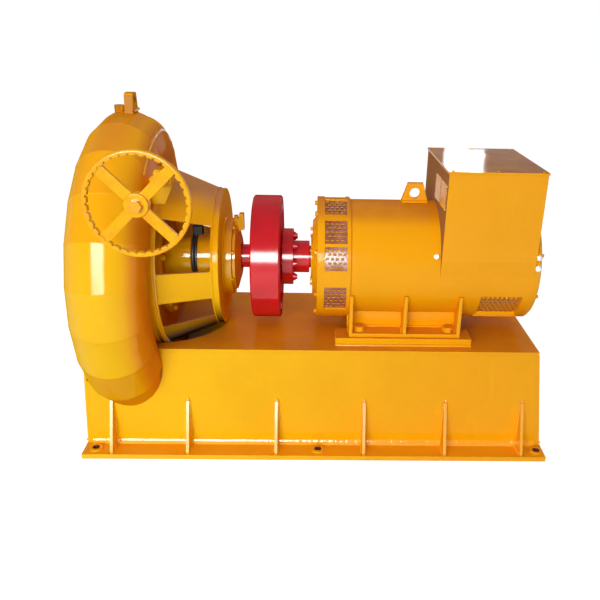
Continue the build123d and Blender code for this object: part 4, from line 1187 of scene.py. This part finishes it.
def add_screens(paint, mesh, shadow):
    """Bridge-slotted sheets of the drive end windows and the low rear vents."""
    shape = Shape("vent_bridges")
    for span in BAND_VENT_SPANS:
        bridge_field(shape, BAND_VENT_LEFT, BAND_VENT_RIGHT, span, BAND_VENT_RADIUS)
    shape.finish(paint, shadow)
    shape = Shape("rear_vent_bridges")
    bridge_field(shape, REAR_VENT_LEFT, REAR_VENT_RIGHT, REAR_VENT_SPAN, REAR_VENT_RADIUS)
    shape.finish(mesh, shadow)
    shape = Shape("vent_teeth")
    x = REAR_VENT_LEFT + TOOTH_MARGIN
    while x < REAR_VENT_RIGHT - TOOTH_MARGIN:
        for side in (-1, 1):
            tooth(shape, x, side)
        x += TOOTH_PITCH
    shape.finish(paint)


# Bolts: width across the flats, height and, for some, the washer; shares are of that width
SMALL_BOLT = (0.013, 0.008)
MIDDLE_BOLT = (0.013, 0.009)
LARGE_BOLT = (0.016, 0.010)
COVER_BOLT = (0.017, 0.011)
LID_SCREW = (0.008, 0.0024, 0.0008)
DRUM_SCREW = (0.020, 0.009, 0.003)
PLUG_HEXAGON = (0.016, 0.011)
HOUSING_BOLTS = (8, SMALL_BOLT)
SIDE_COVER_BOLTS = (16, COVER_BOLT)
SHIELD_BOLTS = (8, LARGE_BOLT)
REAR_BOLTS = (8, MIDDLE_BOLT)
INNER_BOLTS = (6, MIDDLE_BOLT)
RIM_MARGIN = 0.016
SHIELD_BOSS_HEIGHT = 0.018
INNER_BOLT_RADIUS = 0.118
LID_MARGIN = 0.018
SCREW_ANGLES = (10, 20)
SCREW_PAST_DRUM = 0.006
HEX_SIDES = 24
WASHER = 0.0016
WASHER_SHARE = 0.62
BOLT_SINK = 0.0003
CROWN_SHARE = 0.475
CROWN_DROP_SHARE = 0.06
POINT_SHARE = 0.30
POINT_RISE_SHARE = 0.02


def hex_bolt(shape, place, way, across, height, washer=WASHER):
    """Hexagon head with a chamfered crown on its washer."""
    place, way = Vector(place), Vector(way).normalized()
    side = way.orthogonal().normalized()
    other = way.cross(side)
    spin = chance.uniform(0, 60)

    def ring(radius, rise, hexagon=False):
        """Points of a circle or of a hexagon with that inner radius, at a height."""
        points = []
        for k in range(HEX_SIDES):
            degrees = 360 / HEX_SIDES * k
            turn = math.radians(degrees + spin)
            flat = math.cos(math.radians((degrees + 30) % 60 - 30)) if hexagon else 1.0
            out = side * math.cos(turn) + other * math.sin(turn)
            points.append(place + out * (radius / flat) + way * rise)
        return points

    rows = shape.skin([
        ring(across * WASHER_SHARE, -BOLT_SINK),
        ring(across * WASHER_SHARE, washer),
        ring(across / 2, washer, hexagon=True),
        ring(across / 2, height - across * CROWN_DROP_SHARE, hexagon=True),
        ring(across * CROWN_SHARE, height),
        ring(across * POINT_SHARE, height + across * POINT_RISE_SHARE),
    ], round_ring=True)
    shape.cap(rows[-1])


def bolt_circle(shape, x, radius, way, count, bolt):
    """Bolts on a circle about the shaft line."""
    for k in range(count):
        turn = 2 * math.pi * (k + 0.5) / count
        hex_bolt(shape, (x, radius * math.cos(turn), SHAFT_Z + radius * math.sin(turn)), way, *bolt)


def drum_bolt(shape, x, angle, radius, side, bolt):
    """Bolt that stands out from the drum."""
    place = on_drum(x, angle, radius, side)
    hex_bolt(shape, place, place - Vector((x, 0, SHAFT_Z)), *bolt)


def add_fasteners(paints):
    """Painted and plated bolts of the covers, and the lid's screws."""
    shape = Shape("cover_bolts")
    bolt_circle(shape, HOUSING_RIGHT, (HOUSING_RADIUS + COVER_RADIUS) / 2, X, *HOUSING_BOLTS)
    bolt_circle(shape, SIDE_COVER_LEFT, SIDE_COVER_RADIUS - RIM_MARGIN, -X, *SIDE_COVER_BOLTS)
    shape.finish(paints["casing"], smooth=False)
    shape = Shape("generator_bolts")
    bolt_circle(shape, BAND_LEFT, DRUM_RADIUS - RIM_MARGIN, -X, *SHIELD_BOLTS)
    bolt_circle(shape, REAR_FACE, DRUM_RADIUS - RIM_MARGIN, X, *REAR_BOLTS)
    bolt_circle(shape, BAND_LEFT - SHIELD_BOSS_HEIGHT, INNER_BOLT_RADIUS, -X, *INNER_BOLTS)
    for x in (LID_LOW[0] + LID_MARGIN, (LID_LOW[0] + LID_HIGH[0]) / 2, LID_HIGH[0] - LID_MARGIN):
        for y in (LID_LOW[1] + LID_MARGIN, LID_HIGH[1] - LID_MARGIN):
            hex_bolt(shape, (x, y, LID_HIGH[2]), Z, *LID_SCREW)
    shape.finish(paints["generator"], smooth=False)
    shape = Shape("drum_screws")
    for side in (-1, 1):
        for angle in SCREW_ANGLES:
            drum_bolt(shape, DRUM_RIGHT + SCREW_PAST_DRUM, angle, DRUM_RADIUS, side, DRUM_SCREW)
    drum_bolt(shape, BOX_LOW[0] - PLUG_BEFORE_BOX, PLUG_ANGLE, DRUM_RADIUS + PLUG_TOP, 1, PLUG_HEXAGON)
    shape.finish(paints["zinc"], smooth=False)


bpy.context.scene.view_settings.view_transform = "Standard"
make_camera()
make_world()
make_lights()
make_floor()
paints = make_paints()
dress_nodes(paints)
add_casing_seams(paints["volute"], paints["weld"])
add_base_welds(paints["weld"])
add_bracket_welds(paints["casing"])
add_packing(paints["packing"])
add_generator_welds(paints["generator"])
add_screens(paints["generator"], paints["mesh"], paints["slot"])
add_fasteners(paints)
